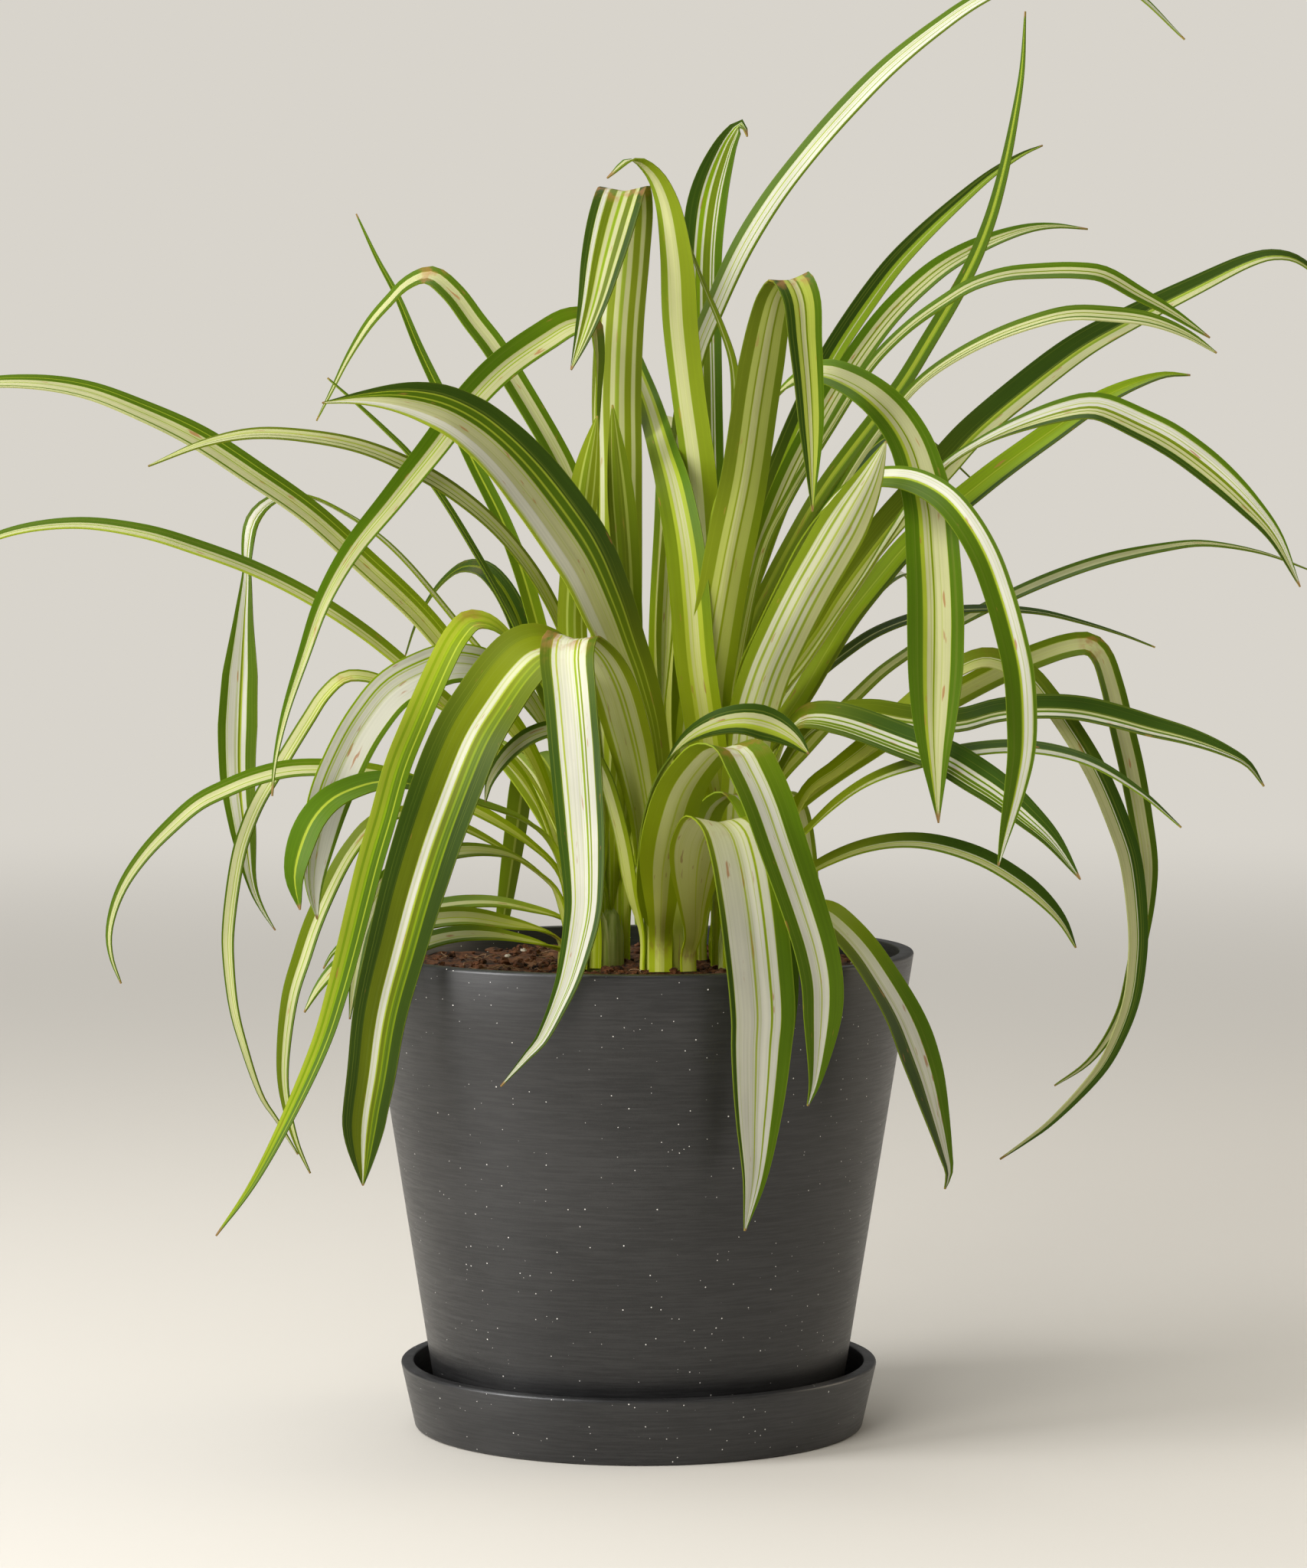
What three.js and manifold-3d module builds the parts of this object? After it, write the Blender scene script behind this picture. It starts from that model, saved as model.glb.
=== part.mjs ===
// A potted spider plant: a conical pot on its saucer, filled with soil, with a clump of five crowns
// and their long striped leaves. Millimetres, +Z up, +X to the right and +Y away from the viewer.
// The origin lies on the pot's axis, on the saucer's underside.
import * as THREE from "three";
import { mergeVertices } from "three/addons/utils/BufferGeometryUtils.js";
import Module from "manifold-3d";

const wasm = await Module();
wasm.setup();

// Driving dimensions
const GAP = 0.3; // between pieces that touch
const ROUND_SIDES = 48;

const SAUCER = { height: 24, baseRadius: 81.9, rimRadius: 86.8, wall: 4.6, floor: 5, edge: 1.2 };
const POT = { rimHeight: 174, rimRadius: 100, slope: 0.1588, wall: 5.5, floor: 8, edge: 1.2, drain: 8 };
const SOIL = { level: 168 };
const CORE = {
  radius: 4.5,
  footRadius: 3.6,
  topRadius: 3.4,
  height: 21,
  depth: 22,
  toe: 6.6, // over the stub's foot, where it reaches its full radius
  neck: 8.4, // over the soil, where it starts to narrow
  shoulder: 17.85,
  sides: 12,
};
const HEART = { radius: 1.7, foot: 9.45, hug: 18.9 }; // where heart leaves start in a crown
const EYE = new THREE.Vector3(0, -1812, 344); // where the leaves' outlines are seen from

const BLADE = {
  thickness: 0.9,
  tipThickness: 0.65,
  tipWidth: 1.3,
  baseShare: 0.4, // base width as a share of the leaf's width
  baseWidest: 8.2,
  baseNarrowest: 4.2,
  channel: 0.2, // how far the edges stand up, as a share of half the width
  baseChannel: 0.3,
  step: 34, // farthest between cross-sections
  bend: 16, // most degrees between cross-sections
  samples: 6, // looked at between two points of a path
  taper: 0.6, // share of the length where the tip starts, unless the leaf has its own
  taperPower: 1.7,
};
// Over which shares of its length a leaf widens, levels out, takes its turn and opens its channel
const OVER = { widen: [0.05, 0.3], level: [0.02, 0.25], turn: [0.05, 0.25], open: [0, 0.3] };
const RING = { first: 6.8, step: 2 }; // radius of the leaf bases round a crown
const SHEATH = { inner: 15, step: 3 }; // how far up a leaf hugs its crown, less in outer rings

const FAN = 14; // depth between the midribs of the front and the middle of a crown

// Each crown's place: across, and towards the viewer
const CROWNS = {
  left: { across: -15, near: 9 },
  leftBack: { across: -10, near: -18 },
  middle: { across: 9, near: 18 },
  right: { across: 33, near: 6 },
  back: { across: 16, near: -24 },
};

// Each leaf: its crown, its ring there (0 grows out of the crown itself), its place round the crown
// in degrees (0 right, 90 away, 180 left, 270 towards the viewer), its width, or its widths spread
// evenly from its base to its tip, and its midrib as seen from the front: across, up and how far it
// is towards the viewer. With no third value the midrib keeps the lean: millimetres nearer for each
// millimetre across from the crown. The turns show the leaf's upper face to the viewer, in degrees,
// spread evenly from its base to its tip.
const LEAVES = [
  // Left crown
  { name: "leaf_kinked_left", crown: "left", ring: 0, slot: 180, width: 12, lean: 0.42,
    turn: [0, 15, 20, 20, 22, 30, 60, 72, 68, 60, 50, 40], taper: 0.5,
    path: [[-16, 240], [-16.5, 300], [-16.5, 365], [-16, 392], [-18, 401], [-25, 401],
      [-35, 395.5], [-50, 385], [-62, 373], [-75, 356], [-90, 337], [-105, 318], [-115, 300],
      [-122, 280], [-129, 258], [-132.5, 241], [-133.5, 229.5]] },
  { name: "leaf_short_left", crown: "left", ring: 0, slot: 250, width: 10.5, turn: [0],
    taper: 0.85,
    path: [[-16, 225, 11], [-20, 250, 12], [-23, 272, 13], [-24.5, 290, 15], [-24, 306, 18],
      [-21, 334, 22], [-19, 349, 25], [-15.5, 367.5, 27]] },
  { name: "leaf_pale_left", crown: "left", ring: 0, slot: 140,
    width: [12, 12, 12, 11.5, 10.5, 9, 8, 7, 6, 5], turn: [0, 30, 50, 30], taper: 0.85,
    path: [[-20, 255, 2], [-27, 285, 0], [-36, 305, 6], [-50, 324, 14], [-65, 337.5, 22],
      [-80, 347, 28], [-100, 355.5, 36], [-120, 359.5, 42], [-140, 360.5, 46], [-158, 357, 50],
      [-178, 349, 54]] },
  { name: "leaf_long_left", crown: "left", ring: 1, slot: 150, width: 11.5, lean: 0.05,
    turn: [0, 45, 50, 40],
    path: [[-40, 245], [-62, 273], [-80, 295], [-100, 314], [-120, 332], [-140, 346],
      [-160, 359], [-180, 368.5], [-200, 376], [-220, 379], [-240, 378], [-258, 371],
      [-276, 357]] },
  { name: "leaf_bright_left", crown: "left", ring: 1, slot: 262, width: 9.5, lean: 0.5,
    turn: [0, 10, 35, 60, 55, 45, 40],
    path: [[-22, 225, 27], [-28, 255, 31], [-37, 274, 34], [-46, 285, 34], [-54, 292, 39],
      [-61, 293, 43], [-66.5, 287.5], [-71, 279.5], [-82, 255], [-88, 240], [-93, 222],
      [-98, 205], [-106, 173], [-110, 158], [-115.6, 140], [-128.5, 111], [-142, 86],
      [-154.5, 68.5]] },
  { name: "leaf_white_left", crown: "left", ring: 2, slot: 214, width: 15.5, lean: 0.32,
    turn: [0, 5, 60, 75, 75], taper: 0.8,
    path: [[-28, 232], [-36, 256], [-50, 273], [-67, 277.5], [-80, 273.5], [-90, 267.5],
      [-98, 258], [-105, 246.5], [-113.5, 226], [-118, 203], [-118.3, 194], [-117.2, 184.5]] },
  { name: "leaf_flat_left", crown: "left", ring: 2, slot: 176, width: 8.5, lean: 0.16,
    turn: [0, 35, 40, 30],
    path: [[-40, 232], [-60, 254], [-80, 272], [-100, 288.5], [-120, 301.5], [-140, 311.5],
      [-160, 319], [-180, 325], [-205, 328], [-231, 324], [-252, 313], [-270, 297]] },
  { name: "leaf_arched_left", crown: "left", ring: 4, slot: 156, width: 7.5, lean: 0.1,
    turn: [0, 30, 50, 60, 60],
    path: [[-29, 200], [-40, 212], [-60, 224.5], [-85, 235], [-100, 238.5], [-115, 239.6],
      [-128, 239], [-140, 236], [-150, 232], [-160, 227], [-170, 218.5], [-180, 208],
      [-187.5, 197], [-191.5, 187], [-193, 178], [-192, 170], [-188.7, 161]] },
  { name: "leaf_hidden_left", crown: "left", ring: 3, slot: 236, width: 11, lean: 0.38,
    turn: [0, 10, 30, 50], taper: 0.85,
    path: [[-35, 215], [-60, 227], [-80, 233], [-94, 234.5], [-104, 232], [-112, 228],
      [-118.5, 221], [-123, 211], [-125.3, 200], [-123.5, 188]] },
  { name: "leaf_drooping_left", crown: "left", ring: 3, slot: 202, width: 7.5, lean: 0.2,
    turn: [0, 25, 55, 55],
    path: [[-30, 194], [-50, 210], [-70, 220], [-88, 223], [-97, 219], [-104, 211], [-109, 203],
      [-118, 184], [-122.5, 171], [-127, 156], [-129.8, 130], [-128.8, 118], [-125, 103],
      [-120, 91.5]] },
  { name: "leaf_small_left", crown: "left", ring: 4, slot: 218, width: 9, lean: 0.44,
    turn: [0, 20, 40, 45],
    path: [[-31, 195], [-37, 201.5], [-46, 207], [-57, 209.3], [-68, 208.8],
      [-80, 205.5], [-89, 200.5], [-96, 192.5], [-100.5, 181], [-103, 168], [-105.5, 148]] },
  { name: "leaf_low_left", crown: "left", ring: 5, slot: 196, width: 11, lean: 0.26,
    turn: [0, 30, 30, 30],
    path: [[-30, 177.5], [-50, 183], [-65, 185], [-80, 183], [-92, 178], [-103, 171.5],
      [-111, 166], [-117, 159], [-122, 150.5]] },
  { name: "leaf_on_soil", crown: "left", ring: 5, slot: 236, width: 12, lean: 0.5, turn: [0, 20, 15],
    path: [[-30, 173.5], [-42, 176.5], [-55, 178.5], [-68, 178], [-80, 174.5], [-92, 167],
      [-100, 157]] },
  // Left crown at the back
  { name: "leaf_folded_tall", crown: "leftBack", ring: 0, slot: 250, width: 18.5, turn: [0],
    taper: 0.82,
    path: [[-10, 230, -16], [-9, 270, -14], [-8.5, 345, -10], [-9, 375, -8], [-8, 400, -5],
      [-6, 425, 0], [-5, 442, 6], [-6, 448.5, 14], [-9, 440, 20], [-13, 425, 24],
      [-17, 408, 27], [-21, 395, 29], [-25, 384, 30]] },
  { name: "leaf_upright", crown: "leftBack", ring: 0, slot: 320, width: 10, turn: [0], taper: 0.8,
    path: [[-6, 230, -10], [-4, 265, -4], [-4, 290, 2], [-5, 315, 8], [-7, 340, 12],
      [-9, 360, 14], [-10, 371.5, 15]] },
  { name: "leaf_thin_left", crown: "leftBack", ring: 0, slot: 190, width: 4, lean: -0.15, turn: [0, 40],
    path: [[-25, 250], [-35, 270], [-42, 284], [-48, 297], [-65, 327], [-74, 341], [-84, 354],
      [-92, 362], [-100, 369.5], [-113, 381]] },
  { name: "leaf_spear_left", crown: "leftBack", ring: 1, slot: 140, width: 7, lean: -0.75,
    turn: [0, 40, 50], taper: 0.35,
    path: [[-25, 262], [-34, 280], [-38, 295], [-43, 312], [-50, 330], [-60, 350], [-70, 371],
      [-80, 392], [-88, 411], [-95, 424], [-102.5, 440]] },
  { name: "leaf_twisted_left", crown: "leftBack", ring: 1, slot: 205,
    width: [9, 9, 9, 9, 9, 9, 9, 9, 8.5, 8, 8, 8, 7.5, 3, 7.5, 13, 14.5, 13, 9.5, 5, 3], lean: 0,
    turn: [0, 15, 12, 10, 10, 8, 0, 70, 85, 85, 85, 85], taper: 0.9,
    path: [[-30, 245], [-45, 266], [-65, 290], [-85, 314], [-95, 323.5], [-105, 330.5],
      [-119, 337.5], [-128, 338], [-135, 335], [-140, 329], [-142, 320], [-142.5, 308],
      [-143.5, 295], [-144.5, 280], [-145.5, 262], [-146, 245], [-145.5, 230], [-143, 210],
      [-141.5, 200], [-139.5, 193], [-136, 186], [-132.5, 180.5]] },
  { name: "leaf_apex_left", crown: "leftBack", ring: 0, slot: 170, width: 9.5, lean: -0.35,
    turn: [0, 45, 50, 30], taper: 0.88,
    path: [[-15, 300], [-22, 332], [-27, 347], [-32, 357], [-45, 379], [-53, 392], [-60, 401],
      [-68, 411.5], [-76, 417.5], [-84, 414.5], [-90, 408.5], [-97, 400.5], [-105, 388],
      [-111, 376.5], [-117, 365.5]] },
  { name: "leaf_back_1", crown: "leftBack", ring: 1, slot: 35, width: 13, turn: [0, 10],
    path: [[-3, 232, -60], [-2, 262, -98], [-1, 270, -128], [0, 252, -154], [0, 212, -166],
      [1, 160, -168]] },
  { name: "leaf_thin_arch", crown: "leftBack", ring: 2, slot: 183, width: 6, lean: 0.12,
    turn: [0, 20, 50, 60, 50],
    path: [[-40, 236], [-60, 254], [-80, 266.5], [-92, 270.5], [-100, 272.8], [-107, 272.5],
      [-114, 266.5], [-120, 257.5], [-132, 238], [-138, 228], [-142, 219], [-145.5, 208],
      [-149.5, 180], [-149.3, 168], [-147.5, 152], [-144.5, 140], [-137.5, 119.5], [-132, 111],
      [-124.5, 98.5]] },
  { name: "leaf_grey_arch", crown: "leftBack", ring: 2, slot: 132, width: 9, lean: -0.7,
    turn: [0, 30, 50],
    path: [[-30, 258], [-41, 285], [-45.5, 297], [-51, 306.5], [-57, 312], [-64, 312.5],
      [-70, 308.5], [-75.5, 302], [-81, 292], [-85, 280.5]] },
  { name: "leaf_back_2", crown: "leftBack", ring: 2, slot: 84, width: 14, turn: [0, 0],
    path: [[-14, 230, -45], [-18, 262, -80], [-20, 272, -110], [-22, 262, -140],
      [-23, 235, -160], [-24, 195, -170], [-25, 150, -172]] },
  { name: "leaf_low_back", crown: "leftBack", ring: 3, slot: 212, width: 9, lean: 0.05,
    turn: [0, 25, 20],
    path: [[-28, 184.5], [-40, 188], [-52, 190.3], [-64, 190.3], [-76, 188.5], [-88, 185.5],
      [-98, 181.5], [-106, 177], [-112, 171.5], [-115, 166.5]] },
  { name: "leaf_back_3", crown: "leftBack", ring: 3, slot: 158, width: 14, turn: [0, 10],
    path: [[-35, 225, -40], [-55, 248, -75], [-68, 245, -100], [-76, 222, -118], [-82, 190, -125],
      [-88, 150, -128]] },
  { name: "leaf_back_4", crown: "leftBack", ring: 3, slot: 110, width: 10, turn: [0],
    path: [[-21, 210, -42], [-31, 236, -68], [-38, 245, -88], [-42, 236, -101], [-45, 215, -106],
      [-48, 195, -108], [-51, 175, -109], [-53, 155, -109]] },
  // Middle crown
  { name: "leaf_broad_front_left", crown: "middle", ring: 0, slot: 190,
    width: [20, 22, 25, 27, 27, 25.5, 23, 20, 17, 13], turn: [0, 25, 60, 60], taper: 0.93,
    path: [[1, 215, 14], [-4, 235, 18], [-9, 252, 23], [-16, 267, 29], [-24, 278, 34],
      [-32, 282.5, 40], [-39, 281, 47], [-46, 274.5, 55], [-54, 263.5, 62], [-62, 250.5, 68],
      [-72.5, 225, 75], [-81, 200, 76], [-88, 175, 75], [-94.3, 150, 73], [-97.5, 128, 71],
      [-100.5, 108, 69], [-100.8, 87, 68]] },
  { name: "leaf_broad_up_left", crown: "middle", ring: 1, slot: 299,
    width: [12, 12, 12.5, 13.5, 17, 21, 24, 24, 21, 14, 6], turn: [0, 85, 100, 85, 55],
    taper: 0.85,
    path: [[9, 205, 24], [6.5, 230, 22], [3.5, 253, 24], [-2, 272, 29], [-7, 285, 36],
      [-12, 298, 44], [-20, 315.5, 54], [-30, 330.5, 61], [-40, 343.5, 66], [-50, 354.5, 71],
      [-60, 363, 75], [-70, 368.8, 79], [-80, 372, 82], [-90, 373.5, 85], [-102, 373.5, 88],
      [-115, 372, 91]] },
  { name: "leaf_folded_front", crown: "middle", ring: 1, slot: 220,
    width: [20, 20, 20, 20, 20, 20.5, 20, 17.5, 13, 6, 3], turn: [0, 0, 5, 10, 20], taper: 0.9,
    path: [[2, 205, 22], [1, 222, 25], [-2, 238, 29], [-6, 254, 38], [-11, 270, 52],
      [-17, 281, 66], [-24, 286.5, 77], [-25.5, 281, 84], [-24.5, 268, 88], [-23, 250, 91],
      [-21.7, 232, 94], [-19.8, 198, 99], [-20.3, 186, 101], [-25, 165, 105], [-28.7, 155, 107],
      [-36, 140, 108], [-40, 135.5, 108], [-50.5, 123.5, 107]] },
  { name: "leaf_bright_front", crown: "middle", ring: 2, slot: 5, width: 12, turn: [0, 0, 0, 5],
    path: [[19, 190, 32], [20.5, 202, 39], [23, 214, 49], [27.5, 226, 57], [35, 230, 62],
      [43.5, 216.5, 73.5], [49, 196, 85], [52.5, 178, 92], [55, 162, 91], [55.5, 148, 89],
      [55, 138, 87]] },
  { name: "leaf_small_front", crown: "middle", ring: 2, slot: 192, width: 13, turn: [0, 10, 30],
    path: [[-4, 195, 26], [-7, 212, 30], [-11, 228, 34], [-15, 240, 39], [-20, 249, 44],
      [-27, 253.5, 49], [-36, 252.3, 54], [-44, 248, 59], [-50, 242, 59], [-54.5, 234.5, 58],
      [-56, 227.5, 57]] },
  { name: "leaf_arched_front", crown: "middle", ring: 2, slot: 262, width: 13,
    turn: [0, 0, 30, 50, 50], taper: 0.85,
    path: [[5, 190, 37], [4, 208, 48], [5, 224, 54], [9, 238, 57], [16, 248.5, 59],
      [27, 255, 61], [38, 257, 62], [48, 255, 61], [56, 250.5, 63], [61.5, 245, 65]] },
  { name: "leaf_white_front", crown: "middle", ring: 4, slot: 318, width: 24, turn: [0, 0],
    taper: 0.66,
    path: [[20.5, 178, 32], [21, 190, 45], [22, 203, 60], [24.5, 214, 76], [29, 220, 90],
      [34, 216, 99], [37, 207, 104], [39.5, 194, 107], [41.5, 180, 108], [44.3, 150, 108],
      [43.8, 138, 108], [43, 112, 107], [42, 90, 106], [38.7, 70.5, 106]] },
  { name: "leaf_green_front", crown: "middle", ring: 3, slot: 262,
    width: [17, 20, 21, 21, 20, 18, 16, 14, 10], turn: [0, 0, 10, 15], taper: 0.85,
    path: [[8, 188, 44], [9, 205, 58], [12, 219, 69], [16, 231, 77], [22, 240, 84],
      [29, 246.5, 91], [36, 246, 97], [41, 238, 102], [46, 227, 107], [51, 213, 111],
      [60, 187, 112], [64, 174, 111], [66.3, 162, 109], [66.5, 150, 107], [64, 125, 104],
      [61.5, 116.5, 103]] },
  // Right crown
  { name: "leaf_broad_upright", crown: "right", ring: 0, slot: 200,
    width: [14, 14, 14, 14, 14.5, 14.5, 13, 11, 9, 7, 5], turn: [0, 40, 56, 56, 56], taper: 0.88,
    path: [[30, 215, 12], [26, 240, 24], [22.5, 262, 33], [20, 280, 36], [18.5, 300, 36],
      [16.5, 320, 33], [12.6, 341, 20.5], [8.3, 356, -2], [2.9, 373, -22], [-4.5, 392, -28],
      [-9, 408, -34], [-11, 425, -37]] },
  { name: "leaf_folded_right", crown: "right", ring: 0, slot: 255,
    width: [18.5, 18.5, 18.5, 18.5, 18.5, 18.5, 18.5, 18, 15, 12, 9, 6], turn: [0, 0, 10, 10],
    taper: 0.9,
    path: [[29, 235, 15], [25, 262, 27], [27.5, 285, 33], [32.5, 315, 38], [38.5, 345, 40],
      [42.5, 372, 48], [45, 388, 54], [47.5, 402, 60], [50, 411, 66], [54, 416.5, 73],
      [58, 410, 80], [59.5, 395, 83], [61, 378, 84], [62, 360, 85], [62.5, 333, 87]] },
  { name: "leaf_striped_right", crown: "right", ring: 1, slot: 278, width: 17.7, lean: 1.25,
    turn: [0, -20, -40, -35], taper: 0.8,
    path: [[38.6, 232], [40.6, 255], [45.5, 273], [52, 288], [59.5, 303], [67.5, 317],
      [75.5, 331], [83, 345], [89, 358.5]] },
  { name: "leaf_broad_arch", crown: "right", ring: 0, slot: 350, width: 10.5, lean: 0.95,
    turn: [0, 20, 40, 45, 40], taper: 0.85,
    path: [[38, 272], [45, 291], [53, 309], [61, 324.5], [70, 336.5], [80, 343.5], [91, 345],
      [100, 343.5], [110, 338], [118, 329], [125, 317], [130, 304], [134, 290.5], [137.5, 275],
      [138.7, 260], [138.6, 246], [136.8, 234], [132, 212], [130.6, 204.5]] },
  { name: "leaf_strap_right", crown: "right", ring: 1, slot: 150,
    width: [15, 15, 14, 13, 12, 12, 12, 12.5, 15, 18.5, 20, 19, 14],
    turn: [0, 0, 15, 25, 28, 45, 60, 60, 60], taper: 0.86,
    path: [[27, 230, 4], [26, 270, 8], [25.5, 303, 14], [26.5, 322, 21], [29, 336, 24],
      [34, 348, 23], [41, 362, 23], [49, 373.5, 25], [57, 380.5, 33], [66, 383, 40],
      [76, 379.8, 46], [85, 374, 51], [92, 367, 51], [98, 357.5, 52], [102, 346, 53],
      [105, 333, 55], [106.3, 318, 60], [107.3, 300, 61], [107.5, 280, 61], [107.2, 250, 61],
      [108, 232, 61], [108.7, 220, 61]] },
  { name: "leaf_creased_right", crown: "right", ring: 1, slot: 350,
    width: [15, 15, 15, 14, 12.5, 11.5, 11.5, 12, 12, 11, 9], lean: 0.22,
    turn: [0, 10, 15, 20, 70, 70], taper: 0.84,
    path: [[40.5, 232], [50, 262], [62, 279], [72, 294], [82, 309], [92, 325], [102, 340],
      [112, 350], [122, 356.5], [132, 361.5], [142, 365.5], [152, 368.7], [161, 370.6],
      [167, 370.3], [182, 364], [191, 359.5], [200, 353.5], [210, 345.5], [220, 336],
      [230, 324.5], [239.5, 306]] },
  { name: "leaf_corner_right", crown: "right", ring: 3, slot: 312, width: 13.5, lean: 0.46,
    turn: [0, 0, 50, 55, 50], taper: 0.75,
    path: [[46, 225, 25], [50, 241, 26], [54, 252], [59, 257.5], [65, 258.5], [75, 256.8],
      [85, 253.5], [95, 249.7], [105, 246], [113, 242.5], [122, 237], [131, 231], [140, 223.5],
      [150, 214], [160.5, 199.5]] },
  { name: "leaf_green_right", crown: "right", ring: 2, slot: 22, width: 10.5, lean: -0.04,
    turn: [0, 40, 50, 40], taper: 0.8,
    path: [[42, 240], [50, 252], [60, 267], [68, 281], [76, 294], [86, 307], [96, 319],
      [106, 328.5], [118, 338], [130, 347.5], [150, 362], [160, 369], [170, 375], [180, 379.5],
      [190, 382.5], [199, 382.5]] },
  { name: "leaf_hanging_right_1", crown: "right", ring: 5, slot: 35, width: 9, lean: 0.21,
    turn: [0, 50, 50, 60, 60, 55],
    path: [[60, 230], [72, 240], [84, 249.5], [97, 261.5], [108, 271], [117, 277], [125, 279.8],
      [132, 278.5], [141, 273.5], [148, 265.5], [155, 256], [166, 238], [175, 217],
      [178.5, 206], [181.3, 182], [181, 169], [179, 155], [174.5, 142], [168, 130],
      [150, 110.5], [141, 103.5], [131.8, 97]] },
  { name: "leaf_level_right", crown: "right", ring: 4, slot: 350, width: 10.5, lean: 0.22,
    turn: [0, 20, 55, 50, 30], taper: 0.8,
    path: [[46, 222], [54, 243], [63, 254.5], [73, 259.5], [84, 260.3], [98, 258], [116, 257],
      [130, 260.5], [145, 262], [160, 261.3], [172, 258.7], [185, 255], [200, 251],
      [212, 246.5], [221, 241.5], [227, 233.5]] },
  { name: "leaf_thin_right", crown: "right", ring: 3, slot: 50, width: 6.5, lean: -0.02,
    turn: [0, 30, 20],
    path: [[42, 238], [50, 254], [58, 266], [66, 274.5], [75, 281.8], [85, 288.5], [97, 293.5],
      [107, 296], [118, 297.3], [132, 297.5], [146, 296.3], [160, 293], [175, 288.5],
      [187, 284]] },
  { name: "leaf_hanging_right_2", crown: "right", ring: 5, slot: 62, width: 10, lean: 0.05,
    turn: [0, 50, 60, 55, 75, 75, 70],
    path: [[50, 218], [60, 228.5], [72, 238.5], [84, 247], [98, 256.5], [116, 267],
      [130, 274.3], [145, 280.8], [156, 284.3], [163, 284.7], [167, 281], [171, 270],
      [174.5, 256], [178.5, 240], [182, 222], [184.5, 205], [184, 192], [182, 178],
      [179.5, 165], [176, 152], [170, 140.5], [163, 132], [151.5, 124]] },
  { name: "leaf_low_right", crown: "right", ring: 5, slot: 300, width: 18, turn: [0, 10, 15, 10],
    taper: 0.66,
    path: [[45, 184, 33], [55, 187.5, 45], [65, 187, 57], [73, 181, 65], [80, 173.5, 69],
      [86, 165, 71], [95.5, 149, 70], [103, 130, 66], [106, 120, 64], [111.3, 100, 60],
      [113, 92, 58], [111.7, 86, 57]] },
  { name: "leaf_slim_right", crown: "right", ring: 5, slot: 345, width: 9, lean: 0.42,
    turn: [0, 30, 30, 15],
    path: [[50, 204], [62, 217.5], [72, 227], [82, 234], [92, 238.5], [103, 241.8], [113, 244.7],
      [123, 246.4], [135, 247.3], [150, 246], [165, 241.5], [183, 230.5], [197, 218.5]] },
  { name: "leaf_arched_right", crown: "right", ring: 5, slot: 12, width: 8, lean: 0.2,
    turn: [0, 30, 45, 40], taper: 0.8,
    path: [[51, 191], [57, 198], [64, 203.3], [75, 208.7], [85, 211.8], [95, 213.2],
      [105, 212.8], [117, 210], [127, 206], [138, 199.3], [147, 192], [154, 184], [159, 174.5]] },
  // Crown at the back
  { name: "leaf_hooked_tall", crown: "back", ring: 0, slot: 250, width: 15,
    turn: [0, 45, 62, 65, 65], taper: 0.86,
    path: [[20, 285, -30], [23, 335, -35], [22.5, 375, -40], [22, 405, -44], [22.5, 430, -46],
      [24.5, 446, -45], [28, 458, -42], [32.5, 468, -38], [36.5, 472.5, -35], [38.5, 468, -33]] },
  { name: "leaf_thin_tall", crown: "back", ring: 0, slot: 340, width: 5, turn: [0, 50],
    path: [[28, 290, -20], [33, 335, -12], [34.5, 365, -6], [33.5, 386, 0], [29.5, 399, 3],
      [22, 417, 6], [15.5, 435, 8]] },
  { name: "leaf_curled_tall", crown: "back", ring: 0, slot: 210, width: 13.5, turn: [0, 0],
    taper: 0.78,
    path: [[17, 240, -14], [21, 270, -8], [23.5, 300, -2], [22.5, 325, 4], [20.5, 350, 9],
      [17, 375, 13], [14, 400, 17], [12.5, 425, 21], [9, 445, 25], [4, 455, 28],
      [-3, 459.5, 31], [-12, 453, 34]] },
  { name: "leaf_tall_right", crown: "back", ring: 1, slot: 200, width: 11.5, lean: 0.15,
    turn: [0, 40, 50, 50, 40],
    path: [[9, 240], [10, 290], [13, 335], [17, 370], [21, 390], [27, 405], [37, 427],
      [48, 445], [61, 462], [75, 478], [90, 493], [106, 506], [122, 517], [140, 525],
      [158, 527], [176, 521], [196, 503]] },
  { name: "leaf_spear_right", crown: "back", ring: 1, slot: 340, width: 7.5, lean: -0.28,
    turn: [0, 40, 40],
    path: [[40, 290], [47, 306], [56, 323], [66, 340], [76, 354], [86, 367], [95, 379],
      [103, 392], [119, 420], [126, 437], [131, 455], [135, 475], [137.5, 492], [138.5, 513]] },
  { name: "leaf_slant_right", crown: "back", ring: 1, slot: 32, width: 9.5, lean: -0.42,
    turn: [0, 40, 50, 35], taper: 0.78,
    path: [[36, 298], [40, 308], [47, 328], [54, 345], [62, 361], [70, 375.5], [80, 391],
      [90, 404], [100, 414], [110, 422], [125, 430], [140, 435], [150, 436], [161.5, 435]] },
  { name: "leaf_back_5", crown: "back", ring: 1, slot: 112, width: 14, turn: [0],
    path: [[10, 280, -50], [12, 330, -85], [13, 362, -120], [14, 365, -150], [15, 340, -175],
      [17, 300, -188], [19, 262, -192]] },
  { name: "leaf_bent_right", crown: "back", ring: 2, slot: 320, width: 7.5, lean: 0.05,
    turn: [0, 17, 35, 27, 30, 50, 60], taper: 0.88,
    path: [[45, 318], [54, 337], [62, 351], [70, 364], [78, 377], [85, 387], [92, 394.5],
      [100, 401.5], [110, 408.5], [120, 414.5], [132, 418.3], [145, 419.5], [158, 419.7],
      [167, 418.5], [180, 411.5], [192, 405], [206, 396]] },
  { name: "leaf_straight_right", crown: "back", ring: 2, slot: 58, width: 8.5, lean: -0.75,
    turn: [0, 40, 45], taper: 0.7,
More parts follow.
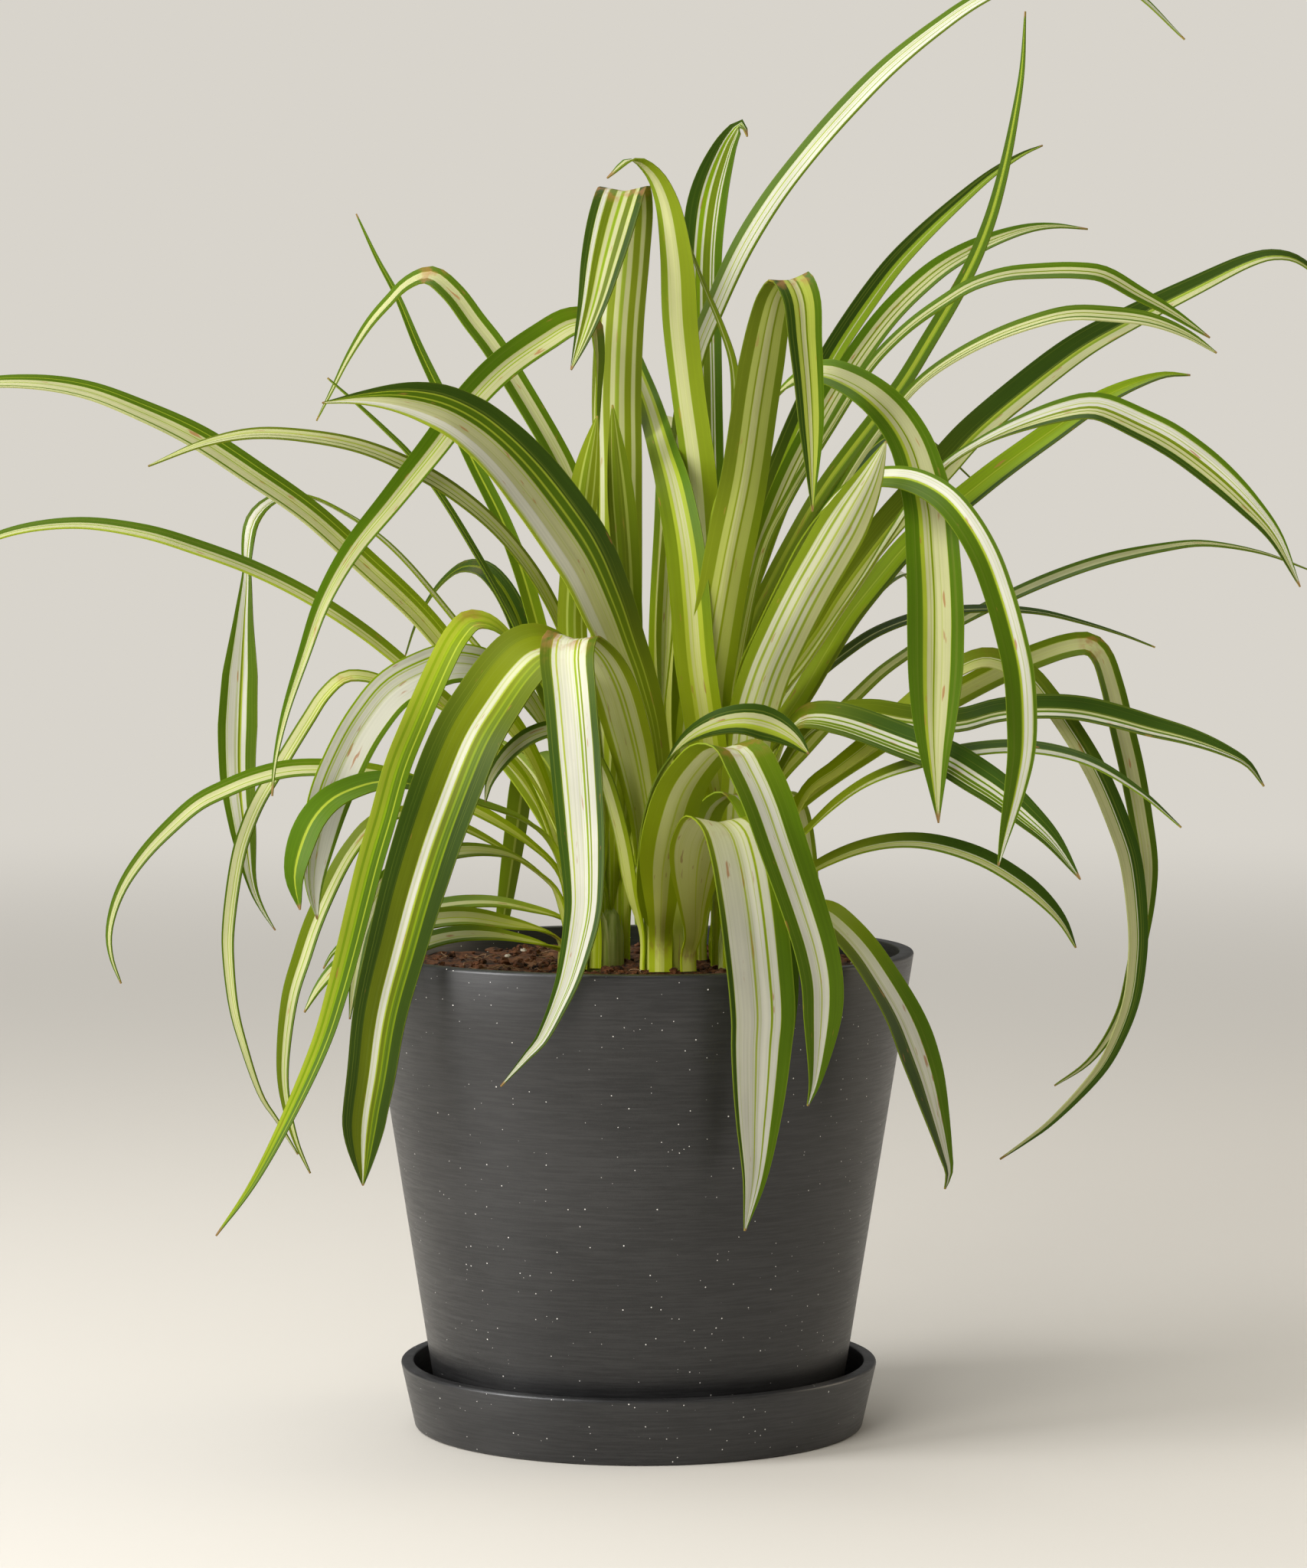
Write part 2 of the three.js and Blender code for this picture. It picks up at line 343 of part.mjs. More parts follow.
    path: [[30, 297], [36, 312], [42, 328], [50, 348], [57, 365], [66, 384], [74, 397.5],
      [90, 420], [100, 431], [115, 445], [127, 455], [138, 462], [145, 465]] },
  { name: "leaf_back_6", crown: "back", ring: 3, slot: 90, width: 15, turn: [0],
    path: [[24, 225, -60], [32, 250, -95], [38, 258, -125], [42, 245, -155], [44, 210, -172],
      [44, 165, -178], [44, 110, -178]] },
  { name: "leaf_wavy_right", crown: "back", ring: 3, slot: 315, width: 7.5, lean: 0.2,
    turn: [0, 17, 35, 28, 32, 45, 50], taper: 0.88,
    path: [[42, 280], [50, 298], [60, 318], [70, 335.5], [80, 352], [90, 366], [100, 378],
      [110, 386], [125, 394.5], [140, 400.5], [155, 404.3], [170, 404], [185, 402], [198, 397],
      [208.5, 390.5]] },
  { name: "leaf_long_right", crown: "back", ring: 3, slot: 358, width: 13, lean: -0.1,
    turn: [0, 40, 55, 50, 30],
    path: [[45, 262], [55, 278], [64, 291], [72, 304], [90, 328], [100, 339], [110, 350],
      [120, 361], [140, 378], [160, 393], [180, 404], [200, 414], [220, 423.5], [228, 425.5],
      [236, 424.5], [244, 419], [252, 409], [260, 395]] },
  { name: "leaf_ribbon_right", crown: "back", ring: 4, slot: 335, width: 7, lean: -0.25,
    turn: [0, 30, 20, 40, 20],
    path: [[50, 234], [60, 246], [70, 257], [79, 266], [88, 274.5], [97, 281], [107, 287.5],
      [128, 299], [150, 309], [170, 315.8], [190, 320], [202, 321.5], [214, 320.5], [228, 317.5],
      [243, 312]] },
  { name: "leaf_back_7", crown: "back", ring: 3, slot: 44, width: 7, lean: -0.7, turn: [0, 40],
    path: [[45, 290], [60, 320], [75, 345], [88, 359], [97, 361.5], [107, 357], [114, 350.5],
      [121.5, 343.5]] },
  { name: "leaf_back_8", crown: "back", ring: 4, slot: 20, width: 14, turn: [0, 10],
    path: [[42, 236, -50], [66, 282, -88], [88, 308, -122], [100, 308, -146], [106, 285, -158],
      [109, 240, -163]] },
  { name: "leaf_back_9", crown: "back", ring: 4, slot: 66, width: 12, turn: [0],
    path: [[35, 215, -55], [48, 230, -90], [56, 224, -120], [60, 197, -135], [61, 160, -140],
      [62, 125, -140]] },
];

const colours = { composite: 0x43434a, soil: 0x33241a, crown: 0xb9c389, leaf: 0x5c8a33 };
const composite = new THREE.MeshStandardMaterial({ color: colours.composite, roughness: 0.8 });
const soilMaterial = new THREE.MeshStandardMaterial({ color: colours.soil, roughness: 0.95 });
const crownMaterial = new THREE.MeshStandardMaterial({ color: colours.crown, roughness: 0.55 });
const leafMaterial = new THREE.MeshStandardMaterial({ color: colours.leaf, roughness: 0.45 });

const smooth = THREE.MathUtils.smoothstep;
const mix = THREE.MathUtils.lerp;
const radians = THREE.MathUtils.degToRad;

// Solids of turned pieces, from profiles of [radius, height] that start and end on the axis
function turned(profile, sides = ROUND_SIDES) {
  const points = profile.map(([radius, height]) => new THREE.Vector2(radius, height));
  const geometry = new THREE.LatheGeometry(points, sides);
  geometry.rotateX(Math.PI / 2); // the lathe's +Y becomes +Z
  return bare(geometry);
}

function bare(geometry) {
  geometry.deleteAttribute("normal");
  geometry.deleteAttribute("uv");
  return mergeVertices(geometry, 1e-4);
}

function toSolid(geometry) {
  const vertProperties = new Float32Array(geometry.attributes.position.array);
  const triVerts = new Uint32Array(geometry.index.array);
  return new wasm.Manifold(new wasm.Mesh({ numProp: 3, vertProperties, triVerts }));
}

function toGeometry(solid) {
  const mesh = solid.getMesh();
  const geometry = new THREE.BufferGeometry();
  geometry.setAttribute("position", new THREE.BufferAttribute(mesh.vertProperties, 3));
  geometry.setIndex(new THREE.BufferAttribute(mesh.triVerts, 1));
  return geometry;
}

// The pot stands on the saucer's floor
const potFoot = SAUCER.floor + GAP;
const potRadiusAt = (height) => POT.rimRadius - POT.slope * (POT.rimHeight - height);
const potInsideAt = (height) => potRadiusAt(height) - POT.wall;
const potInsideFloor = potFoot + POT.floor;

function makeSaucer() {
  const { height, baseRadius, rimRadius, wall, floor, edge } = SAUCER;
  const outerAt = (z) => mix(baseRadius, rimRadius, z / height);
  return turned([
    [0, 0],
    [baseRadius - edge, 0],
    [outerAt(edge), edge],
    [outerAt(height - edge), height - edge],
    [rimRadius - edge, height],
    [rimRadius - wall + edge / 2, height],
    [rimRadius - wall, height - edge / 2],
    [outerAt(floor) - wall, floor],
    [0, floor],
  ]);
}

function makePot() {
  const { rimHeight, rimRadius, wall, edge, drain } = POT;
  const points = [
    [drain, potFoot],
    [potRadiusAt(potFoot) - edge, potFoot],
    [potRadiusAt(potFoot + edge), potFoot + edge],
    [potRadiusAt(rimHeight - edge), rimHeight - edge],
    [rimRadius - edge, rimHeight],
    [rimRadius - wall + edge / 2, rimHeight],
    [rimRadius - wall, rimHeight - edge / 2],
    [potInsideAt(potInsideFloor), potInsideFloor],
    [drain, potInsideFloor],
    [drain, potFoot],
  ];
  return turned(points);
}

// The soil has a plain hole for each crown's stub
function makeSoil() {
  const foot = potInsideFloor + GAP;
  const body = turned([
    [0, foot],
    [potInsideAt(foot) - GAP, foot],
    [potInsideAt(SOIL.level) - GAP, SOIL.level],
    [0, SOIL.level],
  ]);
  let solid = toSolid(body);
  for (const crown of Object.values(CROWNS)) {
    const hole = turned([
      [0, SOIL.level - CORE.depth - GAP],
      [CORE.radius + GAP, SOIL.level - CORE.depth - GAP],
      [CORE.radius + GAP, SOIL.level + 1],
      [0, SOIL.level + 1],
    ], CORE.sides);
    hole.translate(crown.across, -crown.near, 0);
    solid = solid.subtract(toSolid(hole));
  }
  return toGeometry(solid);
}

// A crown's stub, standing in its hole
function makeCore({ across, near }) {
  const { radius, footRadius, topRadius, height, depth, toe, neck, shoulder, sides } = CORE;
  const stub = turned([
    [0, SOIL.level - depth],
    [footRadius, SOIL.level - depth],
    [radius, SOIL.level - depth + toe],
    [radius, SOIL.level + neck],
    [topRadius, SOIL.level + shoulder],
    [0, SOIL.level + height],
  ], sides);
  stub.translate(across, -near, 0);
  return stub;
}

// A point seen at (across, up) from the eye, as far in front of the pot's axis as near says
function placed(across, up, near) {
  const share = (-EYE.y - near) / -EYE.y;
  return new THREE.Vector3(across, 0, up).sub(EYE).multiplyScalar(share).add(EYE);
}

// The leaf's midrib: up beside its crown, then through the points of its path
function midribOf(leaf) {
  const crown = CROWNS[leaf.crown];
  const angle = radians(leaf.slot);
  const out = new THREE.Vector3(Math.cos(angle), Math.sin(angle), 0);
  const centre = new THREE.Vector3(crown.across, -crown.near, 0);
  const grown = leaf.ring === 0;
  const radius = grown ? HEART.radius : RING.first + RING.step * (leaf.ring - 1);
  const foot = SOIL.level + (grown ? HEART.foot : GAP);
  const sheath = SHEATH.inner - SHEATH.step * (leaf.ring - 1);
  const hug = grown ? SOIL.level + HEART.hug : foot + sheath;
  const base = centre.clone().addScaledVector(out, radius);
  const points = [base.clone().setZ(foot), base.clone().setZ(hug)];
  const fanned = crown.near - out.y * FAN;
  for (const [across, up, given] of leaf.path) {
    const near = given ?? fanned + leaf.lean * Math.abs(across - crown.across);
    points.push(placed(across, up, near));
  }
  return { curve: new THREE.CatmullRomCurve3(points, false, "centripetal"), points, centre };
}

// Stations along the midrib: close together where it bends, and far apart where it is straight
function stationsOf({ curve, points }) {
  const count = (points.length - 1) * BLADE.samples;
  const stations = [];
  for (let i = 0; i <= count; i += 1) {
    const station = { point: curve.getPoint(i / count), along: curve.getTangent(i / count) };
    const last = stations.at(-1);
    const far = last && station.point.distanceTo(last.point) > BLADE.step;
    const bent = last && station.along.angleTo(last.along) > radians(BLADE.bend);
    if (!last || far || bent || i === count) stations.push(station);
  }
  return stations;
}

function spread(values, share) {
  const place = share * (values.length - 1);
  const low = Math.min(Math.floor(place), values.length - 1);
  const high = Math.min(low + 1, values.length - 1);
  return mix(values[low], values[high], place - low);
}

// The blade's width at a share of its length: a narrow base, then full, then drawn to the tip
function widthAt(leaf, share) {
  const { baseShare, baseWidest, baseNarrowest, tipWidth, taperPower } = BLADE;
  const widths = [leaf.width].flat();
  const full = spread(widths, share);
  const wish = THREE.MathUtils.clamp(Math.max(...widths) * baseShare, baseNarrowest, baseWidest);
  const base = Math.min(wish, full);
  const start = leaf.taper ?? BLADE.taper;
  const body = mix(base, full, smooth(share, ...OVER.widen));
  const drawn = Math.max(0, (share - start) / (1 - start));
  return mix(tipWidth, body, 1 - drawn ** taperPower);
}

// A channelled blade: six corners at each station, joined into one closed skin
function makeBlade(leaf) {
  const midrib = midribOf(leaf);
  const stations = stationsOf(midrib);
  const lengths = [0];
  for (let i = 1; i < stations.length; i += 1) {
    lengths.push(lengths[i - 1] + stations[i].point.distanceTo(stations[i - 1].point));
  }
  const total = lengths.at(-1);
  const angle = radians(leaf.slot);
  const slotSide = new THREE.Vector3(-Math.sin(angle), Math.cos(angle), 0);
  const far = farthest(midrib);
  const farSide = new THREE.Vector3(-far.y, far.x, 0);
  const facing = Math.sign(far.x) || 1;
  const corners = [];
  stations.forEach(({ point, along }, i) => {
    const share = lengths[i] / total;
    const level = slotSide.clone().lerp(farSide, smooth(share, ...OVER.level)).normalize();
    const side = level.addScaledVector(along, -level.dot(along)).normalize();
    const face = along.clone().cross(side).normalize();
    const turn = radians(spread(leaf.turn, share)) * smooth(share, ...OVER.turn) * facing;
    const across = side.clone().multiplyScalar(Math.cos(turn)).addScaledVector(face, Math.sin(turn));
    const normal = face.clone().multiplyScalar(Math.cos(turn)).addScaledVector(side, -Math.sin(turn));
    const half = widthAt(leaf, share) / 2;
    const thick = mix(BLADE.thickness, BLADE.tipThickness, share) / 2;
    const raised = half * mix(BLADE.baseChannel, BLADE.channel, smooth(share, ...OVER.open));
    const corner = (sideways, up) =>
      point.clone().addScaledVector(across, sideways).addScaledVector(normal, up);
    corners.push(
      corner(half, raised + thick),
      corner(0, thick),
      corner(-half, raised + thick),
      corner(-half, raised - thick),
      corner(0, -thick),
      corner(half, raised - thick),
    );
  });
  return skinOf(corners, stations.length);
}

// The level direction from the crown to the leaf's farthest point
function farthest({ points, centre }) {
  let best = new THREE.Vector3(1, 0, 0);
  let reach = 0;
  for (const point of points) {
    const flat = point.clone().sub(centre).setZ(0);
    if (flat.length() > reach) {
      reach = flat.length();
      best = flat;
    }
  }
  return best.normalize();
}

// Both faces are split into triangles alike, so that a thin blade never crosses itself
function skinOf(corners, count) {
  const SIDES = 6;
  const index = [];
  const quad = (a, b, c, d) => index.push(a, b, c, a, c, d);
  for (let i = 0; i < count - 1; i += 1) {
    const now = i * SIDES;
    const next = now + SIDES;
    quad(now + 0, now + 1, next + 1, next + 0);
    quad(now + 1, now + 2, next + 2, next + 1);
    quad(now + 2, now + 3, next + 3, next + 2);
    index.push(now + 3, now + 4, next + 3, now + 4, next + 4, next + 3);
    index.push(now + 4, now + 5, next + 4, now + 5, next + 5, next + 4);
    quad(now + 5, now + 0, next + 0, next + 5);
  }
  const end = (count - 1) * SIDES;
  index.push(0, 4, 1, 0, 5, 4, 1, 3, 2, 1, 4, 3);
  index.push(end, end + 1, end + 4, end, end + 4, end + 5);
  index.push(end + 1, end + 2, end + 3, end + 1, end + 3, end + 4);
  const positions = corners.flatMap((corner) => corner.toArray());
  const geometry = new THREE.BufferGeometry();
  geometry.setAttribute("position", new THREE.Float32BufferAttribute(positions, 3));
  geometry.setIndex(index);
  return geometry;
}

const plant = new THREE.Group();

function add(name, geometry, material) {
  const mesh = new THREE.Mesh(geometry, material);
  mesh.name = name;
  plant.add(mesh);
}

add("saucer", makeSaucer(), composite);
add("pot", makePot(), composite);
add("soil", makeSoil(), soilMaterial);

// A crown is one piece with the heart leaves that grow out of it
for (const [crown, place] of Object.entries(CROWNS)) {
  let solid = toSolid(makeCore(place));
  for (const leaf of LEAVES.filter((each) => each.crown === crown && each.ring === 0)) {
    solid = solid.add(toSolid(makeBlade(leaf)));
  }
  add(`crown_${crown}`, toGeometry(solid), crownMaterial);
}

for (const leaf of LEAVES.filter((each) => each.ring > 0)) {
  add(leaf.name, makeBlade(leaf), leafMaterial);
}

export default plant;
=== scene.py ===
"""The looks of a potted spider plant: its striped leaves, its pot and saucer, and its soil."""

import logging
import math
from dataclasses import dataclass
from enum import Enum

import bpy
import numpy as np
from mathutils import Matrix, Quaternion, Vector, noise

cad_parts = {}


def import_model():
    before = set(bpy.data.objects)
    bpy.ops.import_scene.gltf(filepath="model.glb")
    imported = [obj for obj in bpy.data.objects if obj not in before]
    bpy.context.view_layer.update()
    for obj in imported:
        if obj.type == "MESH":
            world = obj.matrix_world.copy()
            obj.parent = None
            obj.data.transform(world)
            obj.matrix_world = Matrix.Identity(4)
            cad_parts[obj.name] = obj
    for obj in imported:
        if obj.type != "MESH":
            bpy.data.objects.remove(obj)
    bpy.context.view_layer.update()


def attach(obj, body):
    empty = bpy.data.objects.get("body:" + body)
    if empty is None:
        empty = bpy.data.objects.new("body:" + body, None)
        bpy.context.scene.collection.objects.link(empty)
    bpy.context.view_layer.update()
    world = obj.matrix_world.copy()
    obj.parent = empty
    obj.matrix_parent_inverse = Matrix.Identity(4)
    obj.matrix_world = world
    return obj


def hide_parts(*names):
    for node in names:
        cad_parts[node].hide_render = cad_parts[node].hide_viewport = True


LOG = logging.getLogger("spider_plant")
MM = 0.001
GAP = 0.3  # between pieces that touch, in mm
SOIL_LEVEL = 168.0
EYE = np.array((0.0, -1812.0, 344.0))  # where the leaves' outlines are seen from
FAN = 14.0  # depth between the midribs of the front and the middle of a crown
CURVE_STEPS = 25  # from one point of a midrib to the next
Socket = bpy.types.NodeSocket
Value = float | tuple | Socket  # a constant, or what another node gives


class Crown(Enum):
    """Where each crown stands: its name, across, and towards the viewer, in mm."""

    LEFT = ("left", -15, 9)
    LEFT_BACK = ("leftBack", -10, -18)
    MIDDLE = ("middle", 9, 18)
    RIGHT = ("right", 33, 6)
    BACK = ("back", 16, -24)

    @property
    def node(self) -> str:
        """The CAD node of the crown."""
        return f"crown_{self.value[0]}"

    @property
    def centre(self) -> np.ndarray:
        """The crown's middle on the surface, in mm."""
        return np.array((self.value[1], -self.value[2], 0.0), float)


class Tone(Enum):
    """A stripe's colour by its letter, and how pale it counts as, from 0 to 1."""

    D = (0.034, 0.068, 0.004, 0.0)
    O = (0.118, 0.160, 0.004, 0.0)
    G = (0.074, 0.136, 0.003, 0.0)
    B = (0.195, 0.290, 0.005, 0.25)
    Y = (0.320, 0.385, 0.026, 0.6)
    L = (0.370, 0.420, 0.060, 0.8)
    C = (0.460, 0.460, 0.235, 1.0)
    W = (0.560, 0.550, 0.465, 1.0)


@dataclass(frozen=True)
class Leaf:
    """One leaf: its crown, its ring there (0 grows out of the crown itself), its place round the
    crown in degrees, its width, its stripes from one edge to the other (each tone's letter and
    where it ends, from -1 to 1), the turns of its upper face towards the viewer, and its midrib
    as seen from the front: across, up and how far it is towards the viewer."""

    name: str
    crown: Crown
    ring: int
    slot: float
    width: float | tuple
    stripes: str
    turn: tuple
    path: tuple
    lean: float = 0.0
    taper: float = 0.6


LEAVES = (
    # Left crown
    Leaf("kinked_left", Crown.LEFT, 0, 180, 12, "G-.85 C-.33 B-.27 C-.13 B-.07 C.2 G", (0, 15, 20,
         20, 22, 30, 60, 72, 68, 60, 50, 40), (
        (-16, 240), (-16.5, 300), (-16.5, 365), (-16, 392), (-18, 401), (-25, 401), (-35, 395.5),
        (-50, 385), (-62, 373), (-75, 356), (-90, 337), (-105, 318), (-115, 300), (-122, 280),
        (-129, 258), (-132.5, 241), (-133.5, 229.5)), lean=0.42, taper=0.5),
    Leaf("short_left", Crown.LEFT, 0, 250, 10.5, "O-.7 Y-.6 O-.25 Y-.1 G.25 Y.4 O", (0,), (
        (-16, 225, 11), (-20, 250, 12), (-23, 272, 13), (-24.5, 290, 15), (-24, 306, 18),
        (-21, 334, 22), (-19, 349, 25), (-15.5, 367.5, 27)), taper=0.85),
    Leaf("pale_left", Crown.LEFT, 0, 140, (12, 12, 12, 11.5, 10.5, 9, 8, 7, 6, 5),
         "O-.8 C-.35 O-.2 C.2 Y.3 C.7 O", (0, 30, 50, 30), (
        (-20, 255, 2), (-27, 285, 0), (-36, 305, 6), (-50, 324, 14), (-65, 337.5, 22),
        (-80, 347, 28), (-100, 355.5, 36), (-120, 359.5, 42), (-140, 360.5, 46), (-158, 357, 50),
        (-178, 349, 54)), taper=0.85),
    Leaf("long_left", Crown.LEFT, 1, 150, 11.5, "C-.85 G-.72 C-.13 B-.07 C.3 G.58 Y.62 G", (0, 45,
         50, 40), (
        (-40, 245), (-62, 273), (-80, 295), (-100, 314), (-120, 332), (-140, 346), (-160, 359),
        (-180, 368.5), (-200, 376), (-220, 379), (-240, 378), (-258, 371), (-276, 357)), lean=0.05),
    Leaf("bright_left", Crown.LEFT, 1, 262, 9.5, "G-.6 Y-.5 G-.1 B.1 Y.4 B.6 Y", (0, 10, 35, 60, 55,
         45, 40), (
        (-22, 225, 27), (-28, 255, 31), (-37, 274, 34), (-46, 285, 34), (-54, 292, 39),
        (-61, 293, 43), (-66.5, 287.5), (-71, 279.5), (-82, 255), (-88, 240), (-93, 222),
        (-98, 205), (-106, 173), (-110, 158), (-115.6, 140), (-128.5, 111), (-142, 86),
        (-154.5, 68.5)), lean=0.5),
    Leaf("white_left", Crown.LEFT, 2, 214, 15.5, "G-.8 W.03 Y.07 W.4 Y.44 W.51 B.59 W.93 B", (0, 5,
         60, 75, 75), (
        (-28, 232), (-36, 256), (-50, 273), (-67, 277.5), (-80, 273.5), (-90, 267.5), (-98, 258),
        (-105, 246.5), (-113.5, 226), (-118, 203), (-118.3, 194), (-117.2, 184.5)), lean=0.32, taper=0.8),
    Leaf("flat_left", Crown.LEFT, 2, 176, 8.5, "Y-.8 C-.2 B-.1 C.2 G", (0, 35, 40, 30), (
        (-40, 232), (-60, 254), (-80, 272), (-100, 288.5), (-120, 301.5), (-140, 311.5),
        (-160, 319), (-180, 325), (-205, 328), (-231, 324), (-252, 313), (-270, 297)), lean=0.16),
    Leaf("arched_left", Crown.LEFT, 4, 156, 7.5, "G-.75 C-.34 B-.26 C.3 G", (0, 30, 50, 60, 60), (
        (-29, 200), (-40, 212), (-60, 224.5), (-85, 235), (-100, 238.5), (-115, 239.6), (-128, 239),
        (-140, 236), (-150, 232), (-160, 227), (-170, 218.5), (-180, 208), (-187.5, 197),
        (-191.5, 187), (-193, 178), (-192, 170), (-188.7, 161)), lean=0.1),
    Leaf("hidden_left", Crown.LEFT, 3, 236, 11, "G-.1 Y.1 G", (0, 10, 30, 50), (
        (-35, 215), (-60, 227), (-80, 233), (-94, 234.5), (-104, 232), (-112, 228), (-118.5, 221),
        (-123, 211), (-125.3, 200), (-123.5, 188)), lean=0.38, taper=0.85),
    Leaf("drooping_left", Crown.LEFT, 3, 202, 7.5, "G-.75 C-.35 B-.25 C.2 O", (0, 25, 55, 55), (
        (-30, 194), (-50, 210), (-70, 220), (-88, 223), (-97, 219), (-104, 211), (-109, 203),
        (-118, 184), (-122.5, 171), (-127, 156), (-129.8, 130), (-128.8, 118), (-125, 103),
        (-120, 91.5)), lean=0.2),
    Leaf("small_left", Crown.LEFT, 4, 218, 9, "G-.6 C-.1 Y0 C.6 G", (0, 20, 40, 45), (
        (-31, 195), (-37, 201.5), (-46, 207), (-57, 209.3), (-68, 208.8), (-80, 205.5),
        (-89, 200.5), (-96, 192.5), (-100.5, 181), (-103, 168), (-105.5, 148)), lean=0.44),
    Leaf("low_left", Crown.LEFT, 5, 196, 11, "G-.6 C0 Y.1 C.6 G", (0, 30, 30, 30), (
        (-30, 177.5), (-50, 183), (-65, 185), (-80, 183), (-92, 178), (-103, 171.5), (-111, 166),
        (-117, 159), (-122, 150.5)), lean=0.26),
    Leaf("on_soil", Crown.LEFT, 5, 236, 12, "G-.5 C-.2 Y-.1 C.5 G", (0, 20, 15), (
        (-30, 173.5), (-42, 176.5), (-55, 178.5), (-68, 178), (-80, 174.5), (-92, 167), (-100, 157)),
         lean=0.5),
    # Left crown at the back
    Leaf("folded_tall", Crown.LEFT_BACK, 0, 250, 18.5, "D-.75 C-.6 O-.35 C-.15 B0 C.2 O.5 W.7 D",
         (0,), (
        (-10, 230, -16), (-9, 270, -14), (-8.5, 345, -10), (-9, 375, -8), (-8, 400, -5),
        (-6, 425, 0), (-5, 442, 6), (-6, 448.5, 14), (-9, 440, 20), (-13, 425, 24), (-17, 408, 27),
        (-21, 395, 29), (-25, 384, 30)), taper=0.82),
    Leaf("upright", Crown.LEFT_BACK, 0, 320, 10, "G-.4 Y-.2 D.2 G.5 Y.6 D", (0,), (
        (-6, 230, -10), (-4, 265, -4), (-4, 290, 2), (-5, 315, 8), (-7, 340, 12), (-9, 360, 14),
        (-10, 371.5, 15)), taper=0.8),
    Leaf("thin_left", Crown.LEFT_BACK, 0, 190, 4, "G-.1 Y.1 G", (0, 40), (
        (-25, 250), (-35, 270), (-42, 284), (-48, 297), (-65, 327), (-74, 341), (-84, 354),
        (-92, 362), (-100, 369.5), (-113, 381)), lean=-0.15),
    Leaf("spear_left", Crown.LEFT_BACK, 1, 140, 7, "G-.15 Y.1 G", (0, 40, 50), (
        (-25, 262), (-34, 280), (-38, 295), (-43, 312), (-50, 330), (-60, 350), (-70, 371),
        (-80, 392), (-88, 411), (-95, 424), (-102.5, 440)), lean=-0.75, taper=0.35),
    Leaf("twisted_left", Crown.LEFT_BACK, 1, 205, (9, 9, 9, 9, 9, 9, 9, 9, 8.5, 8, 8, 8, 7.5, 3,
         7.5, 13, 14.5, 13, 9.5, 5, 3), "G-.45 W-.2 Y-.12 O-.02 W.6 G", (0, 15, 12, 10, 10, 8, 0, 70, 85,
         85, 85, 85), (
        (-30, 245), (-45, 266), (-65, 290), (-85, 314), (-95, 323.5), (-105, 330.5), (-119, 337.5),
        (-128, 338), (-135, 335), (-140, 329), (-142, 320), (-142.5, 308), (-143.5, 295),
        (-144.5, 280), (-145.5, 262), (-146, 245), (-145.5, 230), (-143, 210), (-141.5, 200),
        (-139.5, 193), (-136, 186), (-132.5, 180.5)), lean=0, taper=0.9),
    Leaf("apex_left", Crown.LEFT_BACK, 0, 170, 9.5, "G-.3 C.5 G", (0, 45, 50, 30), (
        (-15, 300), (-22, 332), (-27, 347), (-32, 357), (-45, 379), (-53, 392), (-60, 401),
        (-68, 411.5), (-76, 417.5), (-84, 414.5), (-90, 408.5), (-97, 400.5), (-105, 388),
        (-111, 376.5), (-117, 365.5)), lean=-0.35, taper=0.88),
    Leaf("back_1", Crown.LEFT_BACK, 1, 35, 13, "G-.55 C.1 B.18 C.6 G", (0, 10), (
        (-3, 232, -60), (-2, 262, -98), (-1, 270, -128), (0, 252, -154), (0, 212, -166),
        (1, 160, -168))),
    Leaf("thin_arch", Crown.LEFT_BACK, 2, 183, 6, "G-.75 C-.5 B-.4 C-.05 B.05 C.75 G", (0, 20, 50,
         60, 50), (
        (-40, 236), (-60, 254), (-80, 266.5), (-92, 270.5), (-100, 272.8), (-107, 272.5),
        (-114, 266.5), (-120, 257.5), (-132, 238), (-138, 228), (-142, 219), (-145.5, 208),
        (-149.5, 180), (-149.3, 168), (-147.5, 152), (-144.5, 140), (-137.5, 119.5), (-132, 111),
        (-124.5, 98.5)), lean=0.12),
    Leaf("grey_arch", Crown.LEFT_BACK, 2, 132, 9, "D-.1 O.2 D", (0, 30, 50), (
        (-30, 258), (-41, 285), (-45.5, 297), (-51, 306.5), (-57, 312), (-64, 312.5), (-70, 308.5),
        (-75.5, 302), (-81, 292), (-85, 280.5)), lean=-0.7),
    Leaf("back_2", Crown.LEFT_BACK, 2, 84, 14, "G-.7 C-.4 B-.3 C.2 G", (0, 0), (
        (-14, 230, -45), (-18, 262, -80), (-20, 272, -110), (-22, 262, -140), (-23, 235, -160),
        (-24, 195, -170), (-25, 150, -172))),
    Leaf("low_back", Crown.LEFT_BACK, 3, 212, 9, "G-.3 C.3 G", (0, 25, 20), (
        (-28, 184.5), (-40, 188), (-52, 190.3), (-64, 190.3), (-76, 188.5), (-88, 185.5),
        (-98, 181.5), (-106, 177), (-112, 171.5), (-115, 166.5)), lean=0.05),
    Leaf("back_3", Crown.LEFT_BACK, 3, 158, 14, "G-.5 W.04 Y.1 W.65 G", (0, 10), (
        (-35, 225, -40), (-55, 248, -75), (-68, 245, -100), (-76, 222, -118), (-82, 190, -125),
        (-88, 150, -128))),
    Leaf("back_4", Crown.LEFT_BACK, 3, 110, 10, "G-.1 Y.1 G", (0,), (
        (-21, 210, -42), (-31, 236, -68), (-38, 245, -88), (-42, 236, -101), (-45, 215, -106),
        (-48, 195, -108), (-51, 175, -109), (-53, 155, -109))),
    # Middle crown
    Leaf("broad_front_left", Crown.MIDDLE, 0, 190, (20, 22, 25, 27, 27, 25.5, 23, 20, 17, 13),
         "D-.6 B-.55 G-.4 B-.34 O-.2 Y-.15 W.1 O.55 D", (0, 25, 60, 60), (
        (1, 215, 14), (-4, 235, 18), (-9, 252, 23), (-16, 267, 29), (-24, 278, 34),
